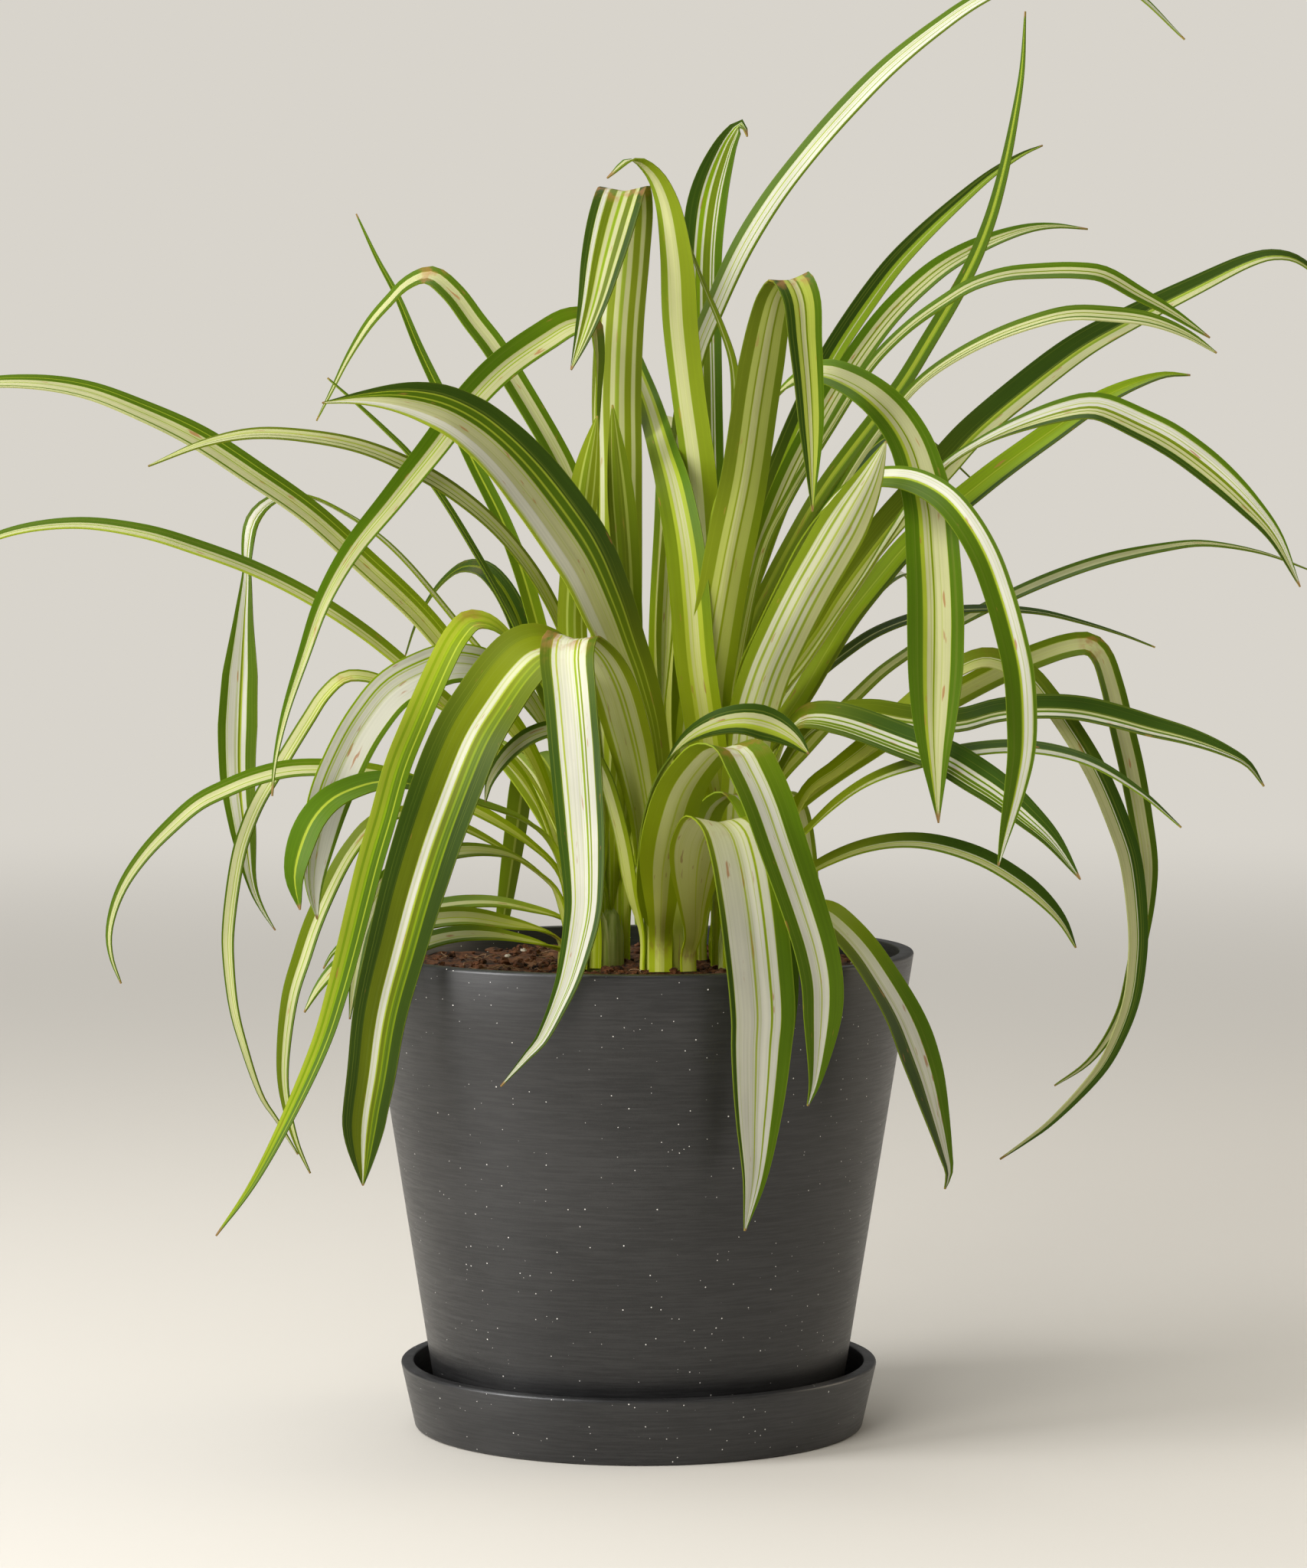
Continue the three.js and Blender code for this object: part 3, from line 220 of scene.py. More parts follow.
        (-32, 282.5, 40), (-39, 281, 47), (-46, 274.5, 55), (-54, 263.5, 62), (-62, 250.5, 68),
        (-72.5, 225, 75), (-81, 200, 76), (-88, 175, 75), (-94.3, 150, 73), (-97.5, 128, 71),
        (-100.5, 108, 69), (-100.8, 87, 68)), taper=0.93),
    Leaf("broad_up_left", Crown.MIDDLE, 1, 299, (12, 12, 12.5, 13.5, 17, 21, 24, 24, 21, 14, 6),
         "Y-.9 W-.5 C.1 G.25 Y.3 G.5 Y.55 D", (0, 85, 100, 85, 55), (
        (9, 205, 24), (6.5, 230, 22), (3.5, 253, 24), (-2, 272, 29), (-7, 285, 36), (-12, 298, 44),
        (-20, 315.5, 54), (-30, 330.5, 61), (-40, 343.5, 66), (-50, 354.5, 71), (-60, 363, 75),
        (-70, 368.8, 79), (-80, 372, 82), (-90, 373.5, 85), (-102, 373.5, 88), (-115, 372, 91)),
         taper=0.85),
    Leaf("folded_front", Crown.MIDDLE, 1, 220, (20, 20, 20, 20, 20, 20.5, 20, 17.5, 13, 6, 3),
         "D-.7 W-.42 O-.36 W-.28 B-.2 W.42 Y.48 W.62 D", (0, 0, 5, 10, 20), (
        (2, 205, 22), (1, 222, 25), (-2, 238, 29), (-6, 254, 38), (-11, 270, 52), (-17, 281, 66),
        (-24, 286.5, 77), (-25.5, 281, 84), (-24.5, 268, 88), (-23, 250, 91), (-21.7, 232, 94),
        (-19.8, 198, 99), (-20.3, 186, 101), (-25, 165, 105), (-28.7, 155, 107), (-36, 140, 108),
        (-40, 135.5, 108), (-50.5, 123.5, 107)), taper=0.9),
    Leaf("bright_front", Crown.MIDDLE, 2, 5, 12, "G-.05 W.3 B", (0, 0, 0, 5), (
        (19, 190, 32), (20.5, 202, 39), (23, 214, 49), (27.5, 226, 57), (35, 230, 62),
        (43.5, 216.5, 73.5), (49, 196, 85), (52.5, 178, 92), (55, 162, 91), (55.5, 148, 89),
        (55, 138, 87))),
    Leaf("small_front", Crown.MIDDLE, 2, 192, 13, "G-.6 C0 Y.1 C.6 G", (0, 10, 30), (
        (-4, 195, 26), (-7, 212, 30), (-11, 228, 34), (-15, 240, 39), (-20, 249, 44),
        (-27, 253.5, 49), (-36, 252.3, 54), (-44, 248, 59), (-50, 242, 59), (-54.5, 234.5, 58),
        (-56, 227.5, 57))),
    Leaf("arched_front", Crown.MIDDLE, 2, 262, 13, "D-.5 C-.2 Y-.1 C.2 Y.55 D", (0, 0, 30, 50, 50),
         (
        (5, 190, 37), (4, 208, 48), (5, 224, 54), (9, 238, 57), (16, 248.5, 59), (27, 255, 61),
        (38, 257, 62), (48, 255, 61), (56, 250.5, 63), (61.5, 245, 65)), taper=0.85),
    Leaf("white_front", Crown.MIDDLE, 4, 318, 24, "G-.6 W-.36 B-.3 W.08 Y.14 W.85 D", (0, 0), (
        (20.5, 178, 32), (21, 190, 45), (22, 203, 60), (24.5, 214, 76), (29, 220, 90),
        (34, 216, 99), (37, 207, 104), (39.5, 194, 107), (41.5, 180, 108), (44.3, 150, 108),
        (43.8, 138, 108), (43, 112, 107), (42, 90, 106), (38.7, 70.5, 106)), taper=0.66),
    Leaf("green_front", Crown.MIDDLE, 3, 262, (17, 20, 21, 21, 20, 18, 16, 14, 10),
         "G-.35 W0 Y.05 W.45 G", (0, 0, 10, 15), (
        (8, 188, 44), (9, 205, 58), (12, 219, 69), (16, 231, 77), (22, 240, 84), (29, 246.5, 91),
        (36, 246, 97), (41, 238, 102), (46, 227, 107), (51, 213, 111), (60, 187, 112),
        (64, 174, 111), (66.3, 162, 109), (66.5, 150, 107), (64, 125, 104), (61.5, 116.5, 103)),
         taper=0.85),
    # Right crown
    Leaf("broad_upright", Crown.RIGHT, 0, 200, (14, 14, 14, 14, 14.5, 14.5, 13, 11, 9, 7, 5),
         "O-.4 Y-.2 C.3 Y.55 G", (0, 40, 56, 56, 56), (
        (30, 215, 12), (26, 240, 24), (22.5, 262, 33), (20, 280, 36), (18.5, 300, 36),
        (16.5, 320, 33), (12.6, 341, 20.5), (8.3, 356, -2), (2.9, 373, -22), (-4.5, 392, -28),
        (-9, 408, -34), (-11, 425, -37)), taper=0.88),
    Leaf("folded_right", Crown.RIGHT, 0, 255, (18.5, 18.5, 18.5, 18.5, 18.5, 18.5, 18.5, 18, 15, 12,
         9, 6), "G-.62 L-.2 O-.1 C.2 O.26 L.5 D", (0, 0, 10, 10), (
        (29, 235, 15), (25, 262, 27), (27.5, 285, 33), (32.5, 315, 38), (38.5, 345, 40),
        (42.5, 372, 48), (45, 388, 54), (47.5, 402, 60), (50, 411, 66), (54, 416.5, 73),
        (58, 410, 80), (59.5, 395, 83), (61, 378, 84), (62, 360, 85), (62.5, 333, 87)), taper=0.9),
    Leaf("striped_right", Crown.RIGHT, 1, 278, 17.7,
         "G-.9 C-.58 B-.48 W-.3 B-.2 W.05 Y.13 W.36 B.46 W.66 G", (0, -20, -40, -35), (
        (38.6, 232), (40.6, 255), (45.5, 273), (52, 288), (59.5, 303), (67.5, 317), (75.5, 331),
        (83, 345), (89, 358.5)), lean=1.25, taper=0.8),
    Leaf("broad_arch", Crown.RIGHT, 0, 350, 10.5, "G-.75 W-.15 Y-.02 G", (0, 20, 40, 45, 40), (
        (38, 272), (45, 291), (53, 309), (61, 324.5), (70, 336.5), (80, 343.5), (91, 345),
        (100, 343.5), (110, 338), (118, 329), (125, 317), (130, 304), (134, 290.5), (137.5, 275),
        (138.7, 260), (138.6, 246), (136.8, 234), (132, 212), (130.6, 204.5)), lean=0.95, taper=0.85),
    Leaf("strap_right", Crown.RIGHT, 1, 150, (15, 15, 14, 13, 12, 12, 12, 12.5, 15, 18.5, 20, 19,
         14), "G-.55 C.02 O.08 C.3 Y.45 G", (0, 0, 15, 25, 28, 45, 60, 60, 60), (
        (27, 230, 4), (26, 270, 8), (25.5, 303, 14), (26.5, 322, 21), (29, 336, 24), (34, 348, 23),
        (41, 362, 23), (49, 373.5, 25), (57, 380.5, 33), (66, 383, 40), (76, 379.8, 46),
        (85, 374, 51), (92, 367, 51), (98, 357.5, 52), (102, 346, 53), (105, 333, 55),
        (106.3, 318, 60), (107.3, 300, 61), (107.5, 280, 61), (107.2, 250, 61), (108, 232, 61),
        (108.7, 220, 61)), taper=0.86),
    Leaf("creased_right", Crown.RIGHT, 1, 350, (15, 15, 15, 14, 12.5, 11.5, 11.5, 12, 12, 11, 9),
         "G-.7 W-.35 Y-.3 W-.1 O.1 C.3 O.36 C.6 D", (0, 10, 15, 20, 70, 70), (
        (40.5, 232), (50, 262), (62, 279), (72, 294), (82, 309), (92, 325), (102, 340), (112, 350),
        (122, 356.5), (132, 361.5), (142, 365.5), (152, 368.7), (161, 370.6), (167, 370.3),
        (182, 364), (191, 359.5), (200, 353.5), (210, 345.5), (220, 336), (230, 324.5),
        (239.5, 306)), lean=0.22, taper=0.84),
    Leaf("corner_right", Crown.RIGHT, 3, 312, 13.5, "D-.2 W.0 G.1 W.3 G.45 W.5 G.65 W.7 D", (0, 0,
         50, 55, 50), (
        (46, 225, 25), (50, 241, 26), (54, 252), (59, 257.5), (65, 258.5), (75, 256.8), (85, 253.5),
        (95, 249.7), (105, 246), (113, 242.5), (122, 237), (131, 231), (140, 223.5), (150, 214),
        (160.5, 199.5)), lean=0.46, taper=0.75),
    Leaf("green_right", Crown.RIGHT, 2, 22, 10.5, "B-.2 Y-.13 B.7 D", (0, 40, 50, 40), (
        (42, 240), (50, 252), (60, 267), (68, 281), (76, 294), (86, 307), (96, 319), (106, 328.5),
        (118, 338), (130, 347.5), (150, 362), (160, 369), (170, 375), (180, 379.5), (190, 382.5),
        (199, 382.5)), lean=-0.04, taper=0.8),
    Leaf("hanging_right_1", Crown.RIGHT, 5, 35, 9, "D-.1 W0 G.1 C", (0, 50, 50, 60, 60, 55), (
        (60, 230), (72, 240), (84, 249.5), (97, 261.5), (108, 271), (117, 277), (125, 279.8),
        (132, 278.5), (141, 273.5), (148, 265.5), (155, 256), (166, 238), (175, 217), (178.5, 206),
        (181.3, 182), (181, 169), (179, 155), (174.5, 142), (168, 130), (150, 110.5), (141, 103.5),
        (131.8, 97)), lean=0.21),
    Leaf("level_right", Crown.RIGHT, 4, 350, 10.5, "D.1 C.3 G.5 W.8 D", (0, 20, 55, 50, 30), (
        (46, 222), (54, 243), (63, 254.5), (73, 259.5), (84, 260.3), (98, 258), (116, 257),
        (130, 260.5), (145, 262), (160, 261.3), (172, 258.7), (185, 255), (200, 251), (212, 246.5),
        (221, 241.5), (227, 233.5)), lean=0.22, taper=0.8),
    Leaf("thin_right", Crown.RIGHT, 3, 50, 6.5, "D-.1 C.1 D", (0, 30, 20), (
        (42, 238), (50, 254), (58, 266), (66, 274.5), (75, 281.8), (85, 288.5), (97, 293.5),
        (107, 296), (118, 297.3), (132, 297.5), (146, 296.3), (160, 293), (175, 288.5), (187, 284)),
         lean=-0.02),
    Leaf("hanging_right_2", Crown.RIGHT, 5, 62, 10, "G-.5 C.5 G", (0, 50, 60, 55, 75, 75, 70), (
        (50, 218), (60, 228.5), (72, 238.5), (84, 247), (98, 256.5), (116, 267), (130, 274.3),
        (145, 280.8), (156, 284.3), (163, 284.7), (167, 281), (171, 270), (174.5, 256),
        (178.5, 240), (182, 222), (184.5, 205), (184, 192), (182, 178), (179.5, 165), (176, 152),
        (170, 140.5), (163, 132), (151.5, 124)), lean=0.05),
    Leaf("low_right", Crown.RIGHT, 5, 300, 18, "G-.4 W.3 D", (0, 10, 15, 10), (
        (45, 184, 33), (55, 187.5, 45), (65, 187, 57), (73, 181, 65), (80, 173.5, 69),
        (86, 165, 71), (95.5, 149, 70), (103, 130, 66), (106, 120, 64), (111.3, 100, 60),
        (113, 92, 58), (111.7, 86, 57)), taper=0.66),
    Leaf("slim_right", Crown.RIGHT, 5, 345, 9, "D0 W.85 G", (0, 30, 30, 15), (
        (50, 204), (62, 217.5), (72, 227), (82, 234), (92, 238.5), (103, 241.8), (113, 244.7),
        (123, 246.4), (135, 247.3), (150, 246), (165, 241.5), (183, 230.5), (197, 218.5)), lean=0.42),
    Leaf("arched_right", Crown.RIGHT, 5, 12, 8, "D0 W.15 Y.3 C.85 G", (0, 30, 45, 40), (
        (51, 191), (57, 198), (64, 203.3), (75, 208.7), (85, 211.8), (95, 213.2), (105, 212.8),
        (117, 210), (127, 206), (138, 199.3), (147, 192), (154, 184), (159, 174.5)), lean=0.2, taper=0.8),
    # Crown at the back
    Leaf("hooked_tall", Crown.BACK, 0, 250, 15, "D-.4 W-.28 B-.05 W.08 O.42 W.5 G.56 W.64 G", (0,
         45, 62, 65, 65), (
        (20, 285, -30), (23, 335, -35), (22.5, 375, -40), (22, 405, -44), (22.5, 430, -46),
        (24.5, 446, -45), (28, 458, -42), (32.5, 468, -38), (36.5, 472.5, -35), (38.5, 468, -33)),
         taper=0.86),
    Leaf("thin_tall", Crown.BACK, 0, 340, 5, "G-.1 C.15 G", (0, 50), (
        (28, 290, -20), (33, 335, -12), (34.5, 365, -6), (33.5, 386, 0), (29.5, 399, 3),
        (22, 417, 6), (15.5, 435, 8))),
    Leaf("curled_tall", Crown.BACK, 0, 210, 13.5, "O-.22 C.55 G", (0, 0), (
        (17, 240, -14), (21, 270, -8), (23.5, 300, -2), (22.5, 325, 4), (20.5, 350, 9),
        (17, 375, 13), (14, 400, 17), (12.5, 425, 21), (9, 445, 25), (4, 455, 28), (-3, 459.5, 31),
        (-12, 453, 34)), taper=0.78),
    Leaf("tall_right", Crown.BACK, 1, 200, 11.5, "G-.5 W-.2 Y-.12 W.3 B.38 W.85 G", (0, 40, 50, 50,
         40), (
        (9, 240), (10, 290), (13, 335), (17, 370), (21, 390), (27, 405), (37, 427), (48, 445),
        (61, 462), (75, 478), (90, 493), (106, 506), (122, 517), (140, 525), (158, 527), (176, 521),
        (196, 503)), lean=0.15),
    Leaf("spear_right", Crown.BACK, 1, 340, 7.5, "G-.3 Y.1 B.3 G", (0, 40, 40), (
        (40, 290), (47, 306), (56, 323), (66, 340), (76, 354), (86, 367), (95, 379), (103, 392),
        (119, 420), (126, 437), (131, 455), (135, 475), (137.5, 492), (138.5, 513)), lean=-0.28),
    Leaf("slant_right", Crown.BACK, 1, 32, 9.5, "G-.4 C-.1 O.04 C.31 O.42 C.72 G", (0, 40, 50, 35),
         (
        (36, 298), (40, 308), (47, 328), (54, 345), (62, 361), (70, 375.5), (80, 391), (90, 404),
        (100, 414), (110, 422), (125, 430), (140, 435), (150, 436), (161.5, 435)),
         lean=-0.42, taper=0.78),
    Leaf("back_5", Crown.BACK, 1, 112, 14, "G-.7 C-.22 B-.15 C.6 G", (0,), (
        (10, 280, -50), (12, 330, -85), (13, 362, -120), (14, 365, -150), (15, 340, -175),
        (17, 300, -188), (19, 262, -192))),
    Leaf("bent_right", Crown.BACK, 2, 320, 7.5, "G-.45 C-.1 O.05 C.4 G", (0, 17, 35, 27, 30, 50,
         60), (
        (45, 318), (54, 337), (62, 351), (70, 364), (78, 377), (85, 387), (92, 394.5), (100, 401.5),
        (110, 408.5), (120, 414.5), (132, 418.3), (145, 419.5), (158, 419.7), (167, 418.5),
        (180, 411.5), (192, 405), (206, 396)), lean=0.05, taper=0.88),
    Leaf("straight_right", Crown.BACK, 2, 58, 8.5, "D0 B.35 C.45 B", (0, 40, 45), (
        (30, 297), (36, 312), (42, 328), (50, 348), (57, 365), (66, 384), (74, 397.5), (90, 420),
        (100, 431), (115, 445), (127, 455), (138, 462), (145, 465)), lean=-0.75, taper=0.7),
    Leaf("back_6", Crown.BACK, 3, 90, 15, "D-.2 C.1 G", (0,), (
        (24, 225, -60), (32, 250, -95), (38, 258, -125), (42, 245, -155), (44, 210, -172),
        (44, 165, -178), (44, 110, -178))),
    Leaf("wavy_right", Crown.BACK, 3, 315, 7.5, "G-.4 C-.1 O.0 C.45 G.7 C", (0, 17, 35, 28, 32, 45,
         50), (
        (42, 280), (50, 298), (60, 318), (70, 335.5), (80, 352), (90, 366), (100, 378), (110, 386),
        (125, 394.5), (140, 400.5), (155, 404.3), (170, 404), (185, 402), (198, 397),
        (208.5, 390.5)), lean=0.2, taper=0.88),
    Leaf("long_right", Crown.BACK, 3, 358, 13, "D.1 Y.25 B.4 C.95 G", (0, 40, 55, 50, 30), (
        (45, 262), (55, 278), (64, 291), (72, 304), (90, 328), (100, 339), (110, 350), (120, 361),
        (140, 378), (160, 393), (180, 404), (200, 414), (220, 423.5), (228, 425.5), (236, 424.5),
        (244, 419), (252, 409), (260, 395)), lean=-0.1),
    Leaf("ribbon_right", Crown.BACK, 4, 335, 7, "G-.5 C.4 G", (0, 30, 20, 40, 20), (
        (50, 234), (60, 246), (70, 257), (79, 266), (88, 274.5), (97, 281), (107, 287.5),
        (128, 299), (150, 309), (170, 315.8), (190, 320), (202, 321.5), (214, 320.5), (228, 317.5),
        (243, 312)), lean=-0.25),
    Leaf("back_7", Crown.BACK, 3, 44, 7, "G-.15 Y.05 D", (0, 40), (
        (45, 290), (60, 320), (75, 345), (88, 359), (97, 361.5), (107, 357), (114, 350.5),
        (121.5, 343.5)), lean=-0.7),
    Leaf("back_8", Crown.BACK, 4, 20, 14, "G-.6 W.2 Y.26 W.65 D", (0, 10), (
        (42, 236, -50), (66, 282, -88), (88, 308, -122), (100, 308, -146), (106, 285, -158),
        (109, 240, -163))),
    Leaf("back_9", Crown.BACK, 4, 66, 12, "G-.3 C.2 B.3 C.75 G", (0,), (
        (35, 215, -55), (48, 230, -90), (56, 224, -120), (60, 197, -135), (61, 160, -140),
        (62, 125, -140))),
)


def smooth(value: np.ndarray | float, low: float, high: float) -> np.ndarray | float:
    """A smooth step.

    Args:
        value: Where to read it.
        low: Where the step starts.
        high: Where it ends.

    Returns:
        0 before low, 1 after high.
    """
    share = np.clip((value - low) / (high - low), 0, 1)
    return share * share * (3 - 2 * share)


def spread(values: float | tuple, share: np.ndarray) -> np.ndarray:
    """Values that lie evenly along a length, read at shares of it."""
    given = np.atleast_1d(np.array(values, float))
    return np.interp(share, np.linspace(0, 1, len(given)), given)


def unit(vectors: np.ndarray) -> np.ndarray:
    """The rows of vectors, each made 1 long."""
    return vectors / np.linalg.norm(vectors, axis=-1, keepdims=True)


def seed_of(name: str) -> float:
    """A steady number between 0 and 1 for a name."""
    return (sum(ord(letter) * (place + 3) ** 2 for place, letter in enumerate(name)) % 997) / 997


def deselect() -> None:
    """Leaves object mode with nothing selected."""
    if bpy.context.mode != "OBJECT":
        bpy.ops.object.mode_set(mode="OBJECT")
    bpy.ops.object.select_all(action="DESELECT")


def take(piece: bpy.types.Object) -> None:
    """Makes a piece the only one selected, and active.

    Args:
        piece: The piece.
    """
    deselect()
    piece.select_set(True)
    bpy.context.view_layer.objects.active = piece


def apply_all(piece: bpy.types.Object) -> None:
    """Applies every modifier of a piece, in order.

    Args:
        piece: The piece.
    """
    take(piece)
    for modifier in list(piece.modifiers):
        bpy.ops.object.modifier_apply(modifier=modifier.name)


def finished(piece: bpy.types.Object, slot: str, *nodes: str) -> bpy.types.Object:
    """Puts a piece on the plant's body.

    Args:
        piece: The new piece.
        slot: The name of a record's material slot; not used.
        nodes: The CAD nodes that it stands for.

    Returns:
        The piece.
    """
    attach(piece, "root")
    if nodes:
        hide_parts(*nodes)
    LOG.info("%s: %d faces", piece.name, len(piece.data.polygons))
    return piece


class Nodes:
    """A material's node tree, with short calls for the nodes that the finishes use."""

    def __init__(self, name: str) -> None:
        """Starts an empty material with its output.

        Args:
            name: The material's name.
        """
        self.material = bpy.data.materials.new(name)
        self.material.use_nodes = True
        self.tree = self.material.node_tree
        self.tree.nodes.clear()
        self.out = self.tree.nodes.new("ShaderNodeOutputMaterial")

    def link(self, source: Socket, target: Socket) -> None:
        """Joins two sockets."""
        self.tree.links.new(source, target)

    def set(self, socket: Socket, value: Value) -> None:
        """Gives a socket a value or joins it to another socket.

        Args:
            socket: The input.
            value: A number, a colour, or the output that feeds it.
        """
        if isinstance(value, Socket):
            self.link(value, socket)
        elif hasattr(value, "__len__") and len(value) == 3 and len(socket.default_value) == 4:
            socket.default_value = (*value, 1.0)
        else:
            socket.default_value = value

    def node(self, kind: str, **settings: str) -> bpy.types.Node:
        """A new node with its settings.

        Args:
            kind: The node's type.
            settings: Its properties by name.

        Returns:
            The node.
        """
        made = self.tree.nodes.new(kind)
        for key, value in settings.items():
            setattr(made, key, value)
        return made

    def math(self, operation: str, a: Value, b: Value = 0.0, c: Value = 0.0) -> Socket:
        """A sum of one to three values.

        Args:
            operation: What is done with them.
            a: The first value.
            b: The second value.
            c: The third value.

        Returns:
            The result.
        """
        made = self.node("ShaderNodeMath", operation=operation)
        for socket, value in zip(made.inputs, (a, b, c)):
            self.set(socket, value)
        return made.outputs[0]

    def ramp(self, value: Value, low: float, high: float, first: float = 0.0,
             last: float = 1.0) -> Socket:
        """A smooth step from first to last as the value goes from low to high.

        Args:
            value: Where to read it.
            low: Where the step starts.
            high: Where it ends.
            first: What it gives before low.
            last: What it gives after high.

        Returns:
            The result.
        """
        made = self.node("ShaderNodeMapRange", interpolation_type="SMOOTHSTEP")
        for place, given in enumerate((value, low, high, first, last)):
            self.set(made.inputs[place], given)
        return made.outputs[0]

    def mix(self, share: Value, a: Value, b: Value, blend: str = "MIX") -> Socket:
        """A mix of two colours.

        Args:
            share: How much of the second there is.
            a: The first colour.
            b: The second colour.
            blend: How they are put together.

        Returns:
            The colour.
        """
        made = self.node("ShaderNodeMix", data_type="RGBA", blend_type=blend)
        self.set(made.inputs[0], share)
        self.set(made.inputs[6], a)
        self.set(made.inputs[7], b)
        return made.outputs[2]

    def vector(self, x: Value, y: Value, z: Value) -> Socket:
        """A vector of three values.

        Args:
            x: Its first value.
            y: Its second value.
            z: Its third value.

        Returns:
            The vector.
        """
        made = self.node("ShaderNodeCombineXYZ")
        for socket, value in zip(made.inputs, (x, y, z)):
            self.set(socket, value)
        return made.outputs[0]

    def noise(self, vector: Socket, scale: float, detail: float = 2.0,
              rough: float = 0.5) -> Socket:
        """A noise between 0 and 1.

        Args:
            vector: Where to read it.
            scale: How fine it is.
            detail: How many finer layers it has.
            rough: How strong those layers are.

        Returns:
            The noise.
        """
        made = self.node("ShaderNodeTexNoise")
        self.set(made.inputs["Vector"], vector)
        made.inputs["Scale"].default_value = scale
        made.inputs["Detail"].default_value = detail
        made.inputs["Roughness"].default_value = rough
        return made.outputs["Fac"]

    def stretched(self, rates: tuple) -> Socket:
        """The place on the object, scaled across and up.

        Args:
            rates: The two scales.

        Returns:
            The place.
        """
        mapping = self.node("ShaderNodeMapping")
        self.link(self.node("ShaderNodeTexCoord").outputs["Object"], mapping.inputs[0])
        mapping.inputs["Scale"].default_value = (rates[0], rates[0], rates[1])
        return mapping.outputs[0]

    def bump(self, height: Socket, strength: float, distance: float,
             normal: Socket | None = None) -> Socket:
        """A bump from a height.

        Args:
            height: How high the surface stands.
            strength: How much of the bump shows.
            distance: How high a height of 1 is, in metres.
            normal: The bump that it is laid on, if there is one.

        Returns:
            The normal.
        """
        made = self.node("ShaderNodeBump")
        made.inputs["Strength"].default_value = strength
        made.inputs["Distance"].default_value = distance
        self.set(made.inputs["Height"], height)
        if normal is not None:
            self.set(made.inputs["Normal"], normal)
        return made.outputs[0]

    def shader(self, colour: Value, roughness: Value, normal: Socket | None = None,
               specular: float = 0.5) -> Socket:
        """A Principled shader.

        Args:
            colour: Its base colour.
            roughness: How matte it is.
            normal: Its bump, if it has one.
            specular: How strongly it mirrors.

        Returns:
            The shader.
        """
        made = self.node("ShaderNodeBsdfPrincipled")
        self.set(made.inputs["Base Color"], colour)
        self.set(made.inputs["Roughness"], roughness)
        made.inputs["Specular IOR Level"].default_value = specular
        if normal is not None:
            self.set(made.inputs["Normal"], normal)
        return made.outputs[0]


@dataclass(frozen=True)
class Finish:
    """A material made of nodes, on the coordinates of the piece that wears it."""

    name: str

    def surface(self, made: Nodes) -> Socket:
        """The shader that the finish shows."""
        raise NotImplementedError

    def build(self) -> bpy.types.Material:
        """Builds the material.

        Returns:
            The material.
        """
        made = Nodes(self.name)
        made.link(self.surface(made), made.out.inputs["Surface"])
        return made.material


